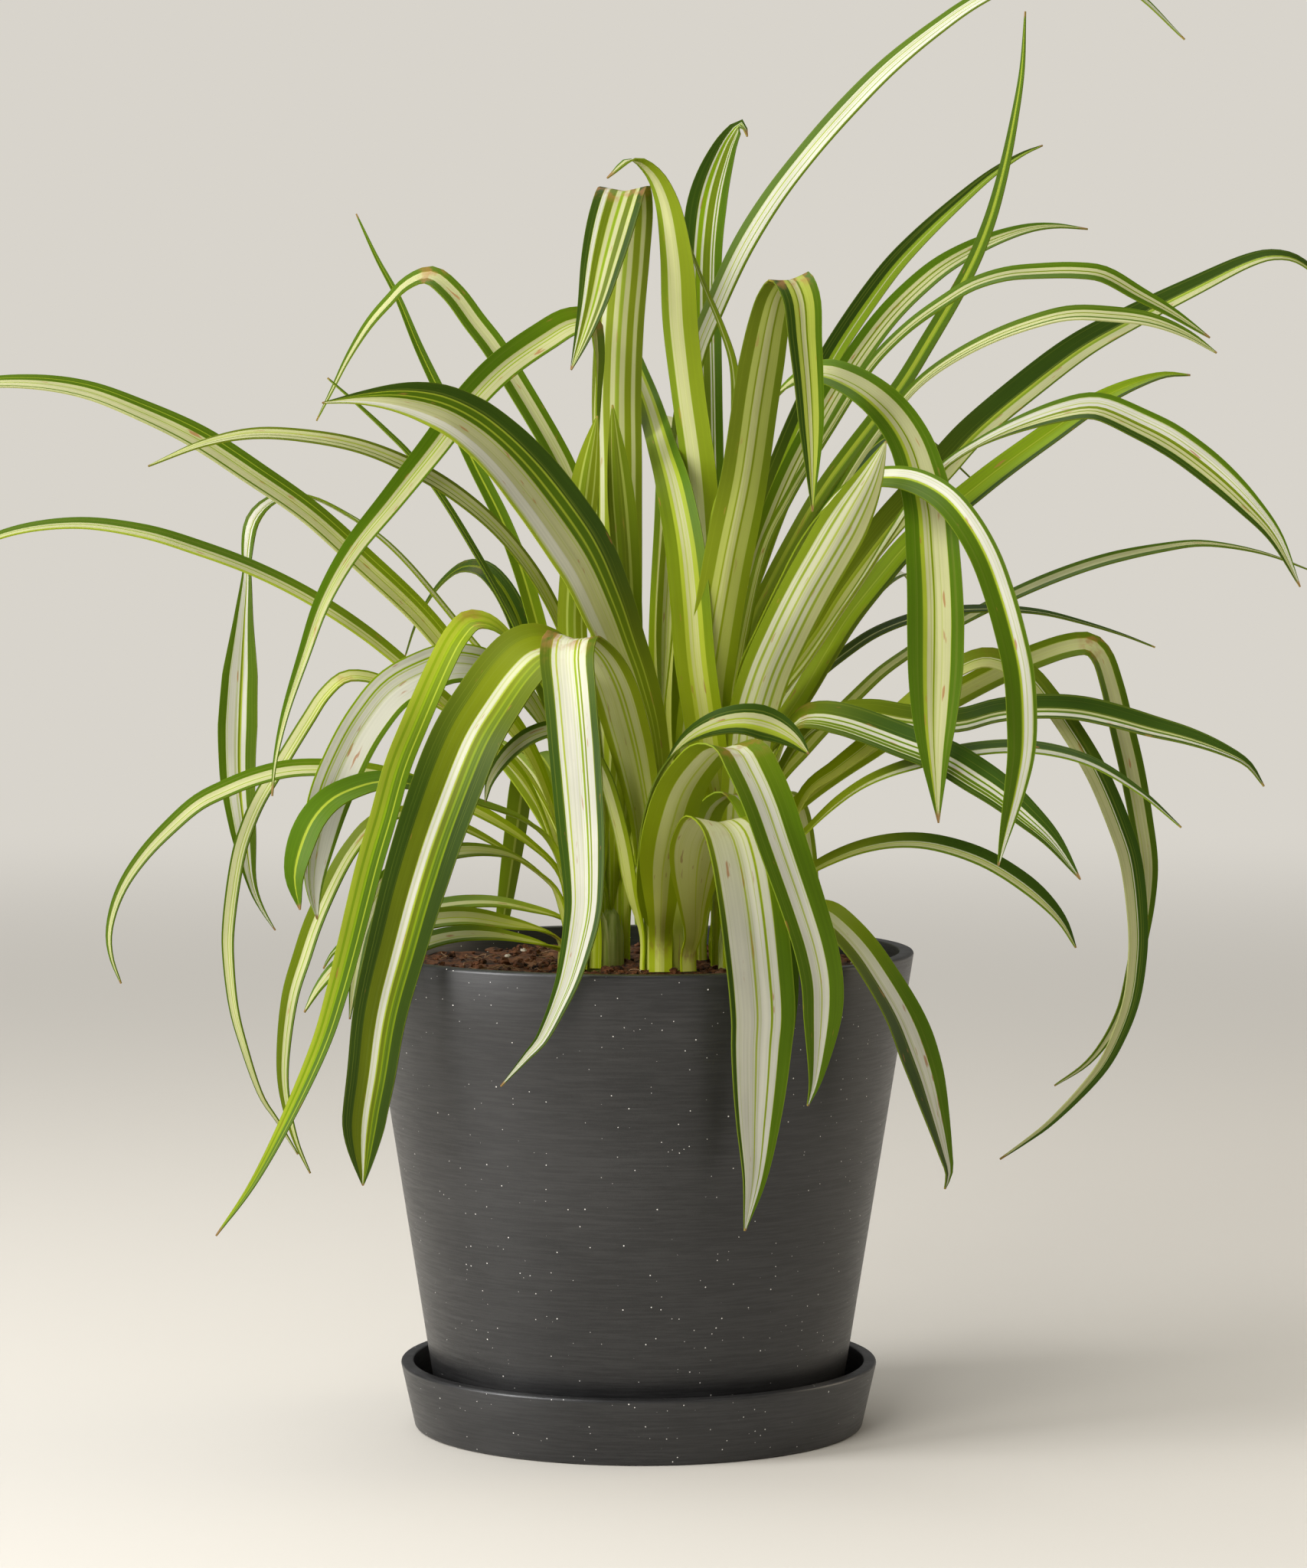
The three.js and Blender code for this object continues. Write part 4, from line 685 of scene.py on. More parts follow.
@dataclass(frozen=True)
class LeafFinish(Finish):
    """The skin of one leaf: its stripes, fine veins, sappy base brightened with painted light, dry tip
    and small blemishes.

    Each noise is given as how often it changes across a leaf of the usual width, and in each
    metre along it. A leaf's shares are of its length, from its base to its tip.
    """

    leaf: Leaf
    under: bool
    glow: float = 0.34  # light that comes through the blade
    soft: float = 0.009  # half the width of a stripe's edge, in shares of the blade
    most_with_halo: int = 9  # a ramp holds 32 colours
    usual_width: float = 18.0  # of a leaf, in mm: narrower ones have fewer veins
    wander: tuple = (0.8, 11.0)
    feather: tuple = (32.0, 30.0)
    lines: tuple = (30.0, 4.0)
    line_green: tuple = (0.135, 0.175, 0.018)
    veins: tuple = (24.0, 8.0)
    vein_height: float = 0.00005
    clouds: tuple = (1.5, 24.0)
    rib: float = 0.02  # half the midrib's width, in shares of the blade
    # The sappy base's colours: partly the leaf's own pale base, partly painted light that brightens the
    # crowded bases where they shade each other
    sap_painted_light_end: float = 0.62
    sap_painted_light_green: tuple = (0.50, 0.58, 0.012)
    sap_painted_light_pale: tuple = (0.72, 0.76, 0.08)
    spots: tuple = (9.0, 90.0)
    marks: tuple = (9.0, 75.0)
    creases: tuple = (5.0, 260.0)
    rust: tuple = (0.36, 0.145, 0.045)
    dry: tuple = (0.27, 0.16, 0.06)
    edge: float = 0.015
    under_share: float = 0.34
    under_green: tuple = (0.40, 0.47, 0.02)
    under_pale: tuple = (0.64, 0.66, 0.27)
    through_green: tuple = (1.35, 1.45, 0.4)
    through_pale: tuple = (1.0, 1.0, 0.75)

    def stripes(self, made: Nodes, across: Socket) -> bpy.types.Node:
        """The colours of the stripes across the blade, with how pale they are as alpha.

        Args:
            made: The material in the making.
            across: The place across the blade, from 0 to 1.

        Returns:
            The ramp's node.
        """
        ramp = made.node("ShaderNodeValToRGB")
        stops = ramp.color_ramp.elements
        seed = seed_of(self.leaf.name)
        vivid = 0.88 + 0.24 * seed
        bands = self.leaf.stripes.split()
        halo = len(bands) <= self.most_with_halo
        start, pale_before = 0.0, 0.0
        for text in bands:
            *tone, pale = Tone[text[0]].value
            if pale < 0.5:
                tone = [tone[0] * (1.06 - 0.12 * seed) * vivid, tone[1] * vivid, tone[2] * vivid]
            end = (float(text[1:]) + 1) / 2 if text[1:] else 1.0
            if halo and start and abs(pale - pale_before) > 0.7:
                stops.new(start).color = Tone.Y.value
            for place in (start + self.soft, end - self.soft):
                stops.new(min(max(place, 0.0), 1.0)).color = (*tone, pale)
            start, pale_before = end, pale
        stops.remove(stops[0])
        stops.remove(stops[len(stops) - 1])
        made.link(across, ramp.inputs[0])
        return ramp

    def surface(self, made: Nodes) -> Socket:
        """The leaf's skin, with the light that comes through it.

        Args:
            made: The material in the making.

        Returns:
            The shader.
        """
        seed = seed_of(self.leaf.name)
        blade = made.node("ShaderNodeSeparateXYZ")
        made.link(made.node("ShaderNodeUVMap", uv_map="Blade").outputs[0], blade.inputs[0])
        length = made.node("ShaderNodeSeparateXYZ")
        made.link(made.node("ShaderNodeUVMap", uv_map="Length").outputs[0], length.inputs[0])
        fold = made.node("ShaderNodeAttribute", attribute_name="fold").outputs["Fac"]
        across, along = blade.outputs[0], blade.outputs[1]
        metres = length.outputs[1]
        far = seed * 37.0
        broad = float(np.max(self.leaf.width)) / self.usual_width

        def drawn(rates: tuple, detail: float = 2.0) -> Socket:
            """Noise drawn out along the blade."""
            place = made.vector(made.math("MULTIPLY", across, rates[0] * broad),
                                made.math("MULTIPLY", metres, rates[1]), far)
            return made.noise(place, 1.0, detail)

        # The stripes wander a little, and their edges are feathered
        wander = made.math("MULTIPLY_ADD", drawn(self.wander), 0.06, -0.03)
        feather = made.math("MULTIPLY_ADD", drawn(self.feather, 1.0), 0.014, -0.007)
        place = made.math("ADD", across, made.math("ADD", wander, feather))
        ramp = self.stripes(made, place)
        colour, pale = ramp.outputs[0], ramp.outputs[1]
        lime = Tone.Y.value[:3]

        # Fine green lines in the pale parts and light ones in the green parts
        lines = made.ramp(drawn(self.lines), 0.57, 0.66)
        pale_lines = made.math("MULTIPLY", lines, pale)
        in_pale = made.math("MULTIPLY", pale_lines, 0.55)
        in_green = made.math("MULTIPLY", made.math("SUBTRACT", lines, pale_lines), 0.5)
        colour = made.mix(in_pale, colour, lime)
        colour = made.mix(in_green, colour, self.line_green)
        veins = drawn(self.veins)
        shade = made.math("MULTIPLY", made.ramp(veins, 0.3, 0.7, 0.93, 1.05),
                          made.ramp(drawn(self.clouds), 0.3, 0.7, 0.9, 1.08))
        colour = made.mix(1.0, colour, made.vector(shade, shade, shade), "MULTIPLY")
        side = made.math("ABSOLUTE", made.math("SUBTRACT", across, 0.5))
        colour = made.mix(made.ramp(side, 0.0, self.rib, 0.35, 0.0), colour, lime)

        # The base is pale and sappy, and painted lighter still: painted light that stands in for the
        # light the crowded bases lose to each other's shade
        sap_painted_light = made.ramp(along, 0.0, self.sap_painted_light_end, 0.95, 0.0)
        colour = made.mix(sap_painted_light, colour, made.mix(pale, self.sap_painted_light_green, self.sap_painted_light_pale))

        # A few spots, marks in the pale parts, the folds and the tip are rusty or dry
        spots = made.ramp(drawn(self.spots), 0.71, 0.77, 0.0, 0.6)
        marks = made.math("MULTIPLY", made.ramp(drawn(self.marks), 0.69, 0.73, 0.0, 0.75), pale)
        fold = made.math("MULTIPLY", fold, made.ramp(along, 0.88, 0.94, 1.0, 0.0))
        creases = made.math("MULTIPLY", fold, made.ramp(drawn(self.creases), 0.42, 0.62, 0.0, 0.6))
        for share in (spots, marks, creases):
            colour = made.mix(share, colour, self.rust)
        tip = made.ramp(along, 0.996 - 0.012 * seed * seed, 1.0 - 0.006 * seed)
        colour = made.mix(tip, colour, self.dry)
        edge = made.ramp(side, 0.5 - self.edge, 0.5, 0.0, 0.3)
        colour = made.mix(edge, colour, lime)
        if self.under:
            sheen = made.mix(pale, self.under_green, self.under_pale)
            colour = made.mix(self.under_share, colour, sheen)

        normal = made.bump(veins, 0.4, self.vein_height)
        skin = made.shader(colour, 0.52 if self.under else 0.42, normal, 0.14)
        warm = made.mix(pale, self.through_green, self.through_pale)
        through = made.node("ShaderNodeBsdfTranslucent")
        made.link(made.mix(1.0, colour, warm, "MULTIPLY"), through.inputs["Color"])
        both = made.node("ShaderNodeMixShader")
        both.inputs[0].default_value = self.glow
        made.link(skin, both.inputs[1])
        made.link(through.outputs[0], both.inputs[2])
        return both.outputs[0]


@dataclass
class LeafBlades:
    """All the leaves, shaped by the same midribs, widths and turns as the CAD's blades."""

    thickness: float = 0.55
    tip_width: float = 0.5
    base_share: float = 0.4
    base_widest: float = 8.2
    base_narrowest: float = 4.2
    channel: float = 0.2
    base_channel: float = 0.3
    ring_first: float = 6.8
    ring_step: float = 2.0
    sheath: float = 15.0
    sheath_step: float = 3.0
    heart_radius: float = 1.7
    heart_foot: float = 9.45
    heart_hug: float = 18.9
    station: float = 3.0
    strips: int = 14
    wave: float = 0.35
    wave_rate: float = 0.09
    taper_power: float = 1.7
    widen: tuple = (0.05, 0.3)  # over which shares of its length a leaf widens, and so on
    level: tuple = (0.02, 0.25)
    twist: tuple = (0.05, 0.25)
    open: tuple = (0.0, 0.3)
    trough: float = 1.1  # 1 for a channel with straight sides, 2 for a round one
    fold_least: float = 0.05  # how much a midrib bends for each mm before it creases
    fold_most: float = 0.12

    def midrib(self, leaf: Leaf) -> np.ndarray:
        """The points that a leaf's midrib passes through, in mm.

        Args:
            leaf: The leaf's values.

        Returns:
            The points, from the base to the tip.
        """
        angle = math.radians(leaf.slot)
        out = np.array((math.cos(angle), math.sin(angle), 0.0))
        grown = leaf.ring == 0
        place = leaf.ring - 1
        radius = self.heart_radius if grown else self.ring_first + self.ring_step * place
        foot = SOIL_LEVEL + (self.heart_foot if grown else GAP)
        hug = SOIL_LEVEL + self.heart_hug if grown else foot + self.sheath - self.sheath_step * place
        base = leaf.crown.centre + out * radius
        near_crown = -leaf.crown.centre[1]
        fanned = near_crown - out[1] * FAN
        points = [(base[0], base[1], foot), (base[0], base[1], hug)]
        for across, up, *given in leaf.path:
            lean = fanned + leaf.lean * abs(across - leaf.crown.centre[0])
            near = given[0] if given else lean
            share = (-EYE[1] - near) / -EYE[1]
            points.append(EYE + (np.array((across, 0.0, up)) - EYE) * share)
        return np.array(points, float)

    @staticmethod
    def curve(points: np.ndarray) -> np.ndarray:
        """A smooth centripetal curve through points, as close points in order.

        Args:
            points: The points that it passes through.

        Returns:
            The close points.
        """
        ahead = 2 * points[0] - points[1]
        after = 2 * points[-1] - points[-2]
        knots = np.vstack((ahead, points, after))
        found = []
        for i in range(1, len(knots) - 2):
            p0, p1, p2, p3 = knots[i - 1:i + 3]
            d0, d1, d2 = (max(float(np.linalg.norm(b - a)) ** 0.5, 1e-4)
                          for a, b in ((p0, p1), (p1, p2), (p2, p3)))
            t1 = ((p1 - p0) / d0 - (p2 - p0) / (d0 + d1) + (p2 - p1) / d1) * d1
            t2 = ((p2 - p1) / d1 - (p3 - p1) / (d1 + d2) + (p3 - p2) / d2) * d1
            t = np.linspace(0, 1, CURVE_STEPS)[:, None]
            t = t if i == len(knots) - 3 else t[:-1]
            found.append(p1 + t1 * t + (-3 * p1 + 3 * p2 - 2 * t1 - t2) * t ** 2
                         + (2 * p1 - 2 * p2 + t1 + t2) * t ** 3)
        return np.vstack(found)

    def build(self, leaf: Leaf) -> bpy.types.Object:
        """Makes one leaf.

        Args:
            leaf: Its values.

        Returns:
            The piece, dressed and placed.
        """
        knots = self.midrib(leaf)
        line = self.curve(knots)
        run = np.concatenate(([0], np.cumsum(np.linalg.norm(np.diff(line, axis=0), axis=1))))
        total = run[-1]
        count = int(total / self.station) + 2
        share = np.linspace(0, 1, count)
        middle = np.stack([np.interp(share * total, run, line[:, k]) for k in range(3)], 1)
        along = unit(np.gradient(middle, axis=0))

        flat = knots - leaf.crown.centre
        flat[:, 2] = 0
        far = unit(flat[np.argmax(np.linalg.norm(flat, axis=1))][None])[0]
        far_side = np.array((-far[1], far[0], 0.0))
        angle = math.radians(leaf.slot)
        slot_side = np.array((-math.sin(angle), math.cos(angle), 0.0))
        facing = 1.0 if far[0] >= 0 else -1.0
        blend = smooth(share, *self.level)[:, None]
        level = unit(slot_side * (1 - blend) + far_side * blend)
        side = unit(level - along * (level * along).sum(1, keepdims=True))
        face = np.cross(along, side)
        turn = np.radians(spread(leaf.turn, share)) * smooth(share, *self.twist) * facing
        turn = turn[:, None]
        across = side * np.cos(turn) + face * np.sin(turn)
        normal = face * np.cos(turn) - side * np.sin(turn)

        seed = seed_of(leaf.name)
        half = self.half_width(leaf, share)
        raised = half * (self.base_channel
                         + (self.channel - self.base_channel) * smooth(share, *self.open))
        deselect()
        bpy.ops.mesh.primitive_grid_add(
            x_subdivisions=self.strips, y_subdivisions=count - 1, size=2, calc_uvs=True)
        piece = bpy.context.active_object
        piece.name = piece.data.name = f"blade_{leaf.name}"
        mesh = piece.data
        co = np.empty(len(mesh.vertices) * 3)
        mesh.vertices.foreach_get("co", co)
        co = co.reshape(-1, 3)
        row = np.rint((co[:, 1] + 1) / 2 * (count - 1)).astype(int)
        sideways = -co[:, 0]
        wave = self.wave * np.sin(share * total * self.wave_rate + seed * 6.3) * smooth(half, 2.0, 9.0)
        lift = raised[row] * np.abs(sideways) ** self.trough + wave[row] * sideways * np.abs(sideways)
        placed = (middle[row] + across[row] * (sideways * half[row])[:, None]
                  + normal[row] * lift[:, None])
        mesh.vertices.foreach_set("co", (placed * MM).ravel())
        mesh.update()
        bend = np.linalg.norm(np.gradient(along, axis=0), axis=1) / self.station
        fold = smooth(bend, self.fold_least, self.fold_most)
        self.chart(mesh, sideways * half[row] * MM, share[row] * total * MM, fold[row])

        solid = piece.modifiers.new("Thickness", "SOLIDIFY")
        solid.thickness = self.thickness * MM
        solid.offset = 0
        solid.use_even_offset = False
        solid.material_offset = 1
        for face_name in ("upper", "under"):
            finish = LeafFinish(f"{leaf.name}_{face_name}", leaf, face_name == "under")
            mesh.materials.append(finish.build())
        apply_all(piece)
        bpy.ops.object.shade_smooth_by_angle(angle=math.radians(50))
        node = leaf.crown.node if leaf.ring == 0 else f"leaf_{leaf.name}"
        return finished(piece, "leaf" if leaf.ring else "crown", node)

    def half_width(self, leaf: Leaf, share: np.ndarray) -> np.ndarray:
        """Half the blade's width: a narrow base, then full, then drawn to the tip.

        Args:
            leaf: The leaf's values.
            share: Where to read it, in shares of the leaf's length.

        Returns:
            The half widths, in mm.
        """
        full = spread(leaf.width, share)
        wish = np.clip(np.max(leaf.width) * self.base_share, self.base_narrowest, self.base_widest)
        base = np.minimum(wish, full)
        body = base + (full - base) * smooth(share, *self.widen)
        drawn = np.clip((share - leaf.taper) / (1 - leaf.taper), 0, 1) ** self.taper_power
        return (body + (self.tip_width - body) * drawn) / 2

    @staticmethod
    def chart(mesh: bpy.types.Mesh, across: np.ndarray, along: np.ndarray,
              fold: np.ndarray) -> None:
        """Gives a leaf its two UV maps, one in shares and one in metres, and its folds.

        Args:
            mesh: The leaf's mesh, one sheet thick.
            across: Each vertex's distance from the midrib, in metres.
            along: Each vertex's distance from the base, in metres.
            fold: How sharply the midrib bends at each vertex, from 0 to 1.
        """
        mesh.uv_layers[0].name = "Blade"
        metres = mesh.uv_layers.new(name="Length")
        corner = np.empty(len(mesh.loops), int)
        mesh.loops.foreach_get("vertex_index", corner)
        metres.uv.foreach_set("vector", np.stack((across[corner], along[corner]), 1).ravel())
        mark = mesh.attributes.new("fold", "FLOAT", "POINT")
        mark.data.foreach_set("value", fold)


class Turned:
    """A piece turned round the pot's axis: a ring of edges, drawn out from ring to ring."""

    def __init__(self, name: str, radius: float, height: float, sides: int = 144) -> None:
        """Starts with one ring, in mm.

        Args:
            name: The piece's name.
            radius: The ring's radius.
            height: The ring's height.
            sides: How many edges it has.
        """
        deselect()
        bpy.ops.mesh.primitive_circle_add(
            vertices=sides, radius=radius * MM, location=(0, 0, height * MM), fill_type="NOTHING")
        self.piece = bpy.context.active_object
        self.piece.name = self.piece.data.name = name
        bpy.ops.object.transform_apply(location=True, rotation=True, scale=True)
        bpy.ops.object.mode_set(mode="EDIT")
        bpy.ops.mesh.select_all(action="SELECT")
        self.radius = radius
        self.height = height

    def to(self, radius: float, height: float) -> "Turned":
        """Draws the ring out to another radius and height, in mm.

        Args:
            radius: The new ring's radius.
            height: The new ring's height.

        Returns:
            The piece in the making.
        """
        bpy.ops.mesh.extrude_region_move(
            TRANSFORM_OT_translate={"value": (0, 0, (height - self.height) * MM)})
        scale = radius / self.radius
        bpy.ops.transform.resize(value=(scale, scale, 1), center_override=(0, 0, height * MM))
        self.radius = radius
        self.height = height
        return self

    def round(self, middle: tuple, size: float, first: float, last: float,
              steps: int = 5) -> "Turned":
        """Draws the ring out along an arc.

        Args:
            middle: The arc's centre: radius and height.
            size: The arc's radius.
            first: The angle it starts at, in degrees, 0 outwards and 90 up.
            last: The angle it ends at.
            steps: How many rings it takes.

        Returns:
            The piece in the making.
        """
        for step in range(steps + 1):
            angle = math.radians(first + (last - first) * step / steps)
            self.to(middle[0] + size * math.cos(angle), middle[1] + size * math.sin(angle))
        return self

    def closed(self, capped: bool) -> bpy.types.Object:
        """Closes the skin and turns its faces outwards.

        Args:
            capped: True to fill the two end rings, False where they meet.

        Returns:
            The piece.
        """
        bpy.ops.mesh.select_all(action="SELECT")
        if capped:
            bpy.ops.mesh.select_all(action="DESELECT")
            bpy.ops.mesh.select_non_manifold()
            bpy.ops.mesh.fill_holes(sides=0)
            bpy.ops.mesh.select_all(action="SELECT")
        bpy.ops.mesh.remove_doubles(threshold=0.00001)
        bpy.ops.mesh.normals_make_consistent(inside=False)
        bpy.ops.object.mode_set(mode="OBJECT")
        bpy.ops.object.shade_smooth_by_angle(angle=math.radians(35))
        return self.piece


@dataclass(frozen=True)
class Composite(Finish):
    """The pot's dark composite: matte, brushed round, with tiny pale specks and smudges.

    Each noise is given as how often it changes in a metre round the pot and up it.
    """

    dark: tuple = (0.0058, 0.0057, 0.0059)
    worn: tuple = (0.0255, 0.0249, 0.0247)
    smudge: tuple = (0.012, 0.011, 0.011)
    speck: tuple = (0.62, 0.60, 0.56)
    brush: tuple = (50.0, 1250.0)
    scuff: tuple = (26.0, 420.0)
    cloud: tuple = (14.0, 20.0)
    smear: tuple = (70.0, 320.0)
    cells: tuple = (520.0, 520.0)
    grain: tuple = (1500.0, 1500.0)
    speckled: float = 0.34  # the share of the cells that hold a speck

    def surface(self, made: Nodes) -> Socket:
        """The brushed and speckled shader.

        Args:
            made: The material in the making.

        Returns:
            The shader.
        """
        brushed = made.noise(made.stretched(self.brush), 1.0, 5.0, 0.75)
        scuffs = made.noise(made.stretched(self.scuff), 1.0, 3.0, 0.7)
        clouds = made.noise(made.stretched(self.cloud), 1.0, 3.0, 0.6)
        amount = made.math("MULTIPLY_ADD", made.ramp(brushed, 0.4, 0.62), 0.42,
                           made.ramp(clouds, 0.35, 0.7, 0.0, 0.3))
        colour = made.mix(amount, self.dark, self.worn)
        colour = made.mix(made.ramp(scuffs, 0.58, 0.72, 0.0, 0.45), colour, self.worn)
        smears = made.noise(made.stretched(self.smear), 1.0, 1.0)
        colour = made.mix(made.ramp(smears, 0.73, 0.78, 0.0, 0.55), colour, self.smudge)

        cells = made.node("ShaderNodeTexVoronoi", feature="F1")
        made.link(made.stretched(self.cells), cells.inputs["Vector"])
        cells.inputs["Scale"].default_value = 1.0
        pick = made.node("ShaderNodeSeparateColor")
        made.link(cells.outputs["Color"], pick.inputs[0])
        size = made.math("MULTIPLY_ADD", pick.outputs[1], 0.11, 0.02)
        near = made.math("LESS_THAN", cells.outputs["Distance"], size)
        chosen = made.math("LESS_THAN", pick.outputs[0], self.speckled)
        colour = made.mix(made.math("MULTIPLY", near, chosen), colour, self.speck)

        rough = made.ramp(brushed, 0.3, 0.7, 0.44, 0.35)
        normal = made.bump(made.noise(made.stretched(self.grain), 1.0), 0.25, 0.00006)
        normal = made.bump(brushed, 0.3, 0.00008, normal)
        return made.shader(colour, rough, normal, 0.6)


@dataclass(frozen=True)
class Earth(Finish):
    """Dark potting mix: brown crumbs, paler patches, and black where its bump is low: partly the mix's
    own dark peat, partly painted shade in the hollows.
    """

    # The peat's black, also used as painted shade in the bump's hollows
    dark: tuple = (0.010, 0.006, 0.004)
    brown: tuple = (0.120, 0.045, 0.017)
    light: tuple = (0.27, 0.125, 0.052)

    def surface(self, made: Nodes) -> Socket:
        """The crumbly shader.

        Args:
            made: The material in the making.

        Returns:
            The shader.
        """
        place = made.node("ShaderNodeTexCoord").outputs["Object"]
        crumbs = made.noise(place, 260.0, 4.0, 0.65)
        patches = made.noise(place, 70.0, 3.0, 0.6)
        # Black in the bump's low spots: the mix's own dark peat with painted shade in the hollows
        colour = made.mix(made.ramp(crumbs, 0.35, 0.62), self.dark, self.brown)
        colour = made.mix(made.ramp(patches, 0.55, 0.75, 0.0, 0.55), colour, self.light)
        normal = made.bump(crumbs, 0.9, 0.0012)
        return made.shader(colour, 0.93, normal, 0.3)


@dataclass(frozen=True)
class Plain(Finish):
    """A plain rough finish with a faint grain, for grit and fibres."""

    colour: tuple
    rough: float = 0.85

    def surface(self, made: Nodes) -> Socket:
        """The grainy shader.

        Args:
            made: The material in the making.

        Returns:
            The shader.
        """
        place = made.node("ShaderNodeTexCoord").outputs["Object"]
        grain = made.noise(place, 300.0, 2.0)
        shade = made.ramp(grain, 0.3, 0.7, 0.92, 1.06)
        colour = made.mix(1.0, self.colour, made.vector(shade, shade, shade), "MULTIPLY")
        return made.shader(colour, self.rough, made.bump(grain, 0.1, 0.0001), 0.3)


@dataclass
class PotAndSaucer:
    """The pot and the saucer that it stands in, in mm."""

    rim_height: float = 174.0
    rim_radius: float = 100.0
    slope: float = 0.1588
    wall: float = 5.5
    foot: float = 5.3
    floor: float = 13.3
    drain: float = 8.0
    edge: float = 1.1
    inner_edge: float = 0.66
    rim_inset: float = 0.2
    wall_rings: int = 8
    saucer_height: float = 24.0
    saucer_base: float = 81.9
    saucer_rim: float = 86.8
    saucer_wall: float = 4.6
    saucer_floor: float = 5.0
    saucer_middle: float = 49.14  # the radius of the flat fill
    cove: float = 2.0

    def radius(self, height: float) -> float:
        """The pot's outer radius at a height."""
        return self.rim_radius - self.slope * (self.rim_height - height)

    def pot(self) -> bpy.types.Object:
        """Makes the pot: out under the foot, up the wall, over the rim and down inside.

        Returns:
            The piece.
        """
        edge = self.edge
        made = Turned("pot_shell", self.drain, self.foot)
        made.round((self.radius(self.foot) - edge, self.foot + edge), edge, 270, 360)
        for step in range(1, self.wall_rings):
            height = self.foot + (self.rim_height - self.foot) * step / self.wall_rings
            made.to(self.radius(height), height)
        top = self.rim_height - edge
        made.round((self.rim_radius - edge - self.rim_inset, top), edge, 0, 90)
        inner = self.rim_radius - self.wall
        small = self.inner_edge
        made.round((inner + small, self.rim_height - small), small, 90, 180)
        made.to(self.radius(self.floor) - self.wall, self.floor)
        made.to(self.drain, self.floor)
        made.to(self.drain, self.foot)
        return made.closed(capped=False)

    def saucer(self) -> bpy.types.Object:
        """Makes the saucer: up outside, over the rim, down inside and across the floor.

        Returns:
            The piece.
        """
        edge = self.edge
        lean = (self.saucer_rim - self.saucer_base) / self.saucer_height
        made = Turned("saucer_dish", self.saucer_middle, 0.0)
        made.to(self.saucer_base - edge, 0.0)
        made.round((self.saucer_base - edge, edge), edge, 285, 355)
        made.round((self.saucer_rim - edge, self.saucer_height - edge), edge, 0, 90)
        inner = self.saucer_rim - self.saucer_wall
        small = self.inner_edge
        made.round((inner + small, self.saucer_height - small), small, 90, 180)
        floor_radius = inner - lean * (self.saucer_height - self.saucer_floor)
        cove = self.cove
        made.round((floor_radius - cove, self.saucer_floor + cove), cove, 0, -90)
        made.to(self.saucer_middle, self.saucer_floor)
        return made.closed(capped=True)

    def build(self) -> None:
        """Makes both and dresses them."""
        skin = Composite("composite").build()
        for piece, node in ((self.pot(), "pot"), (self.saucer(), "saucer")):
            piece.data.materials.append(skin)
            finished(piece, "composite", node)


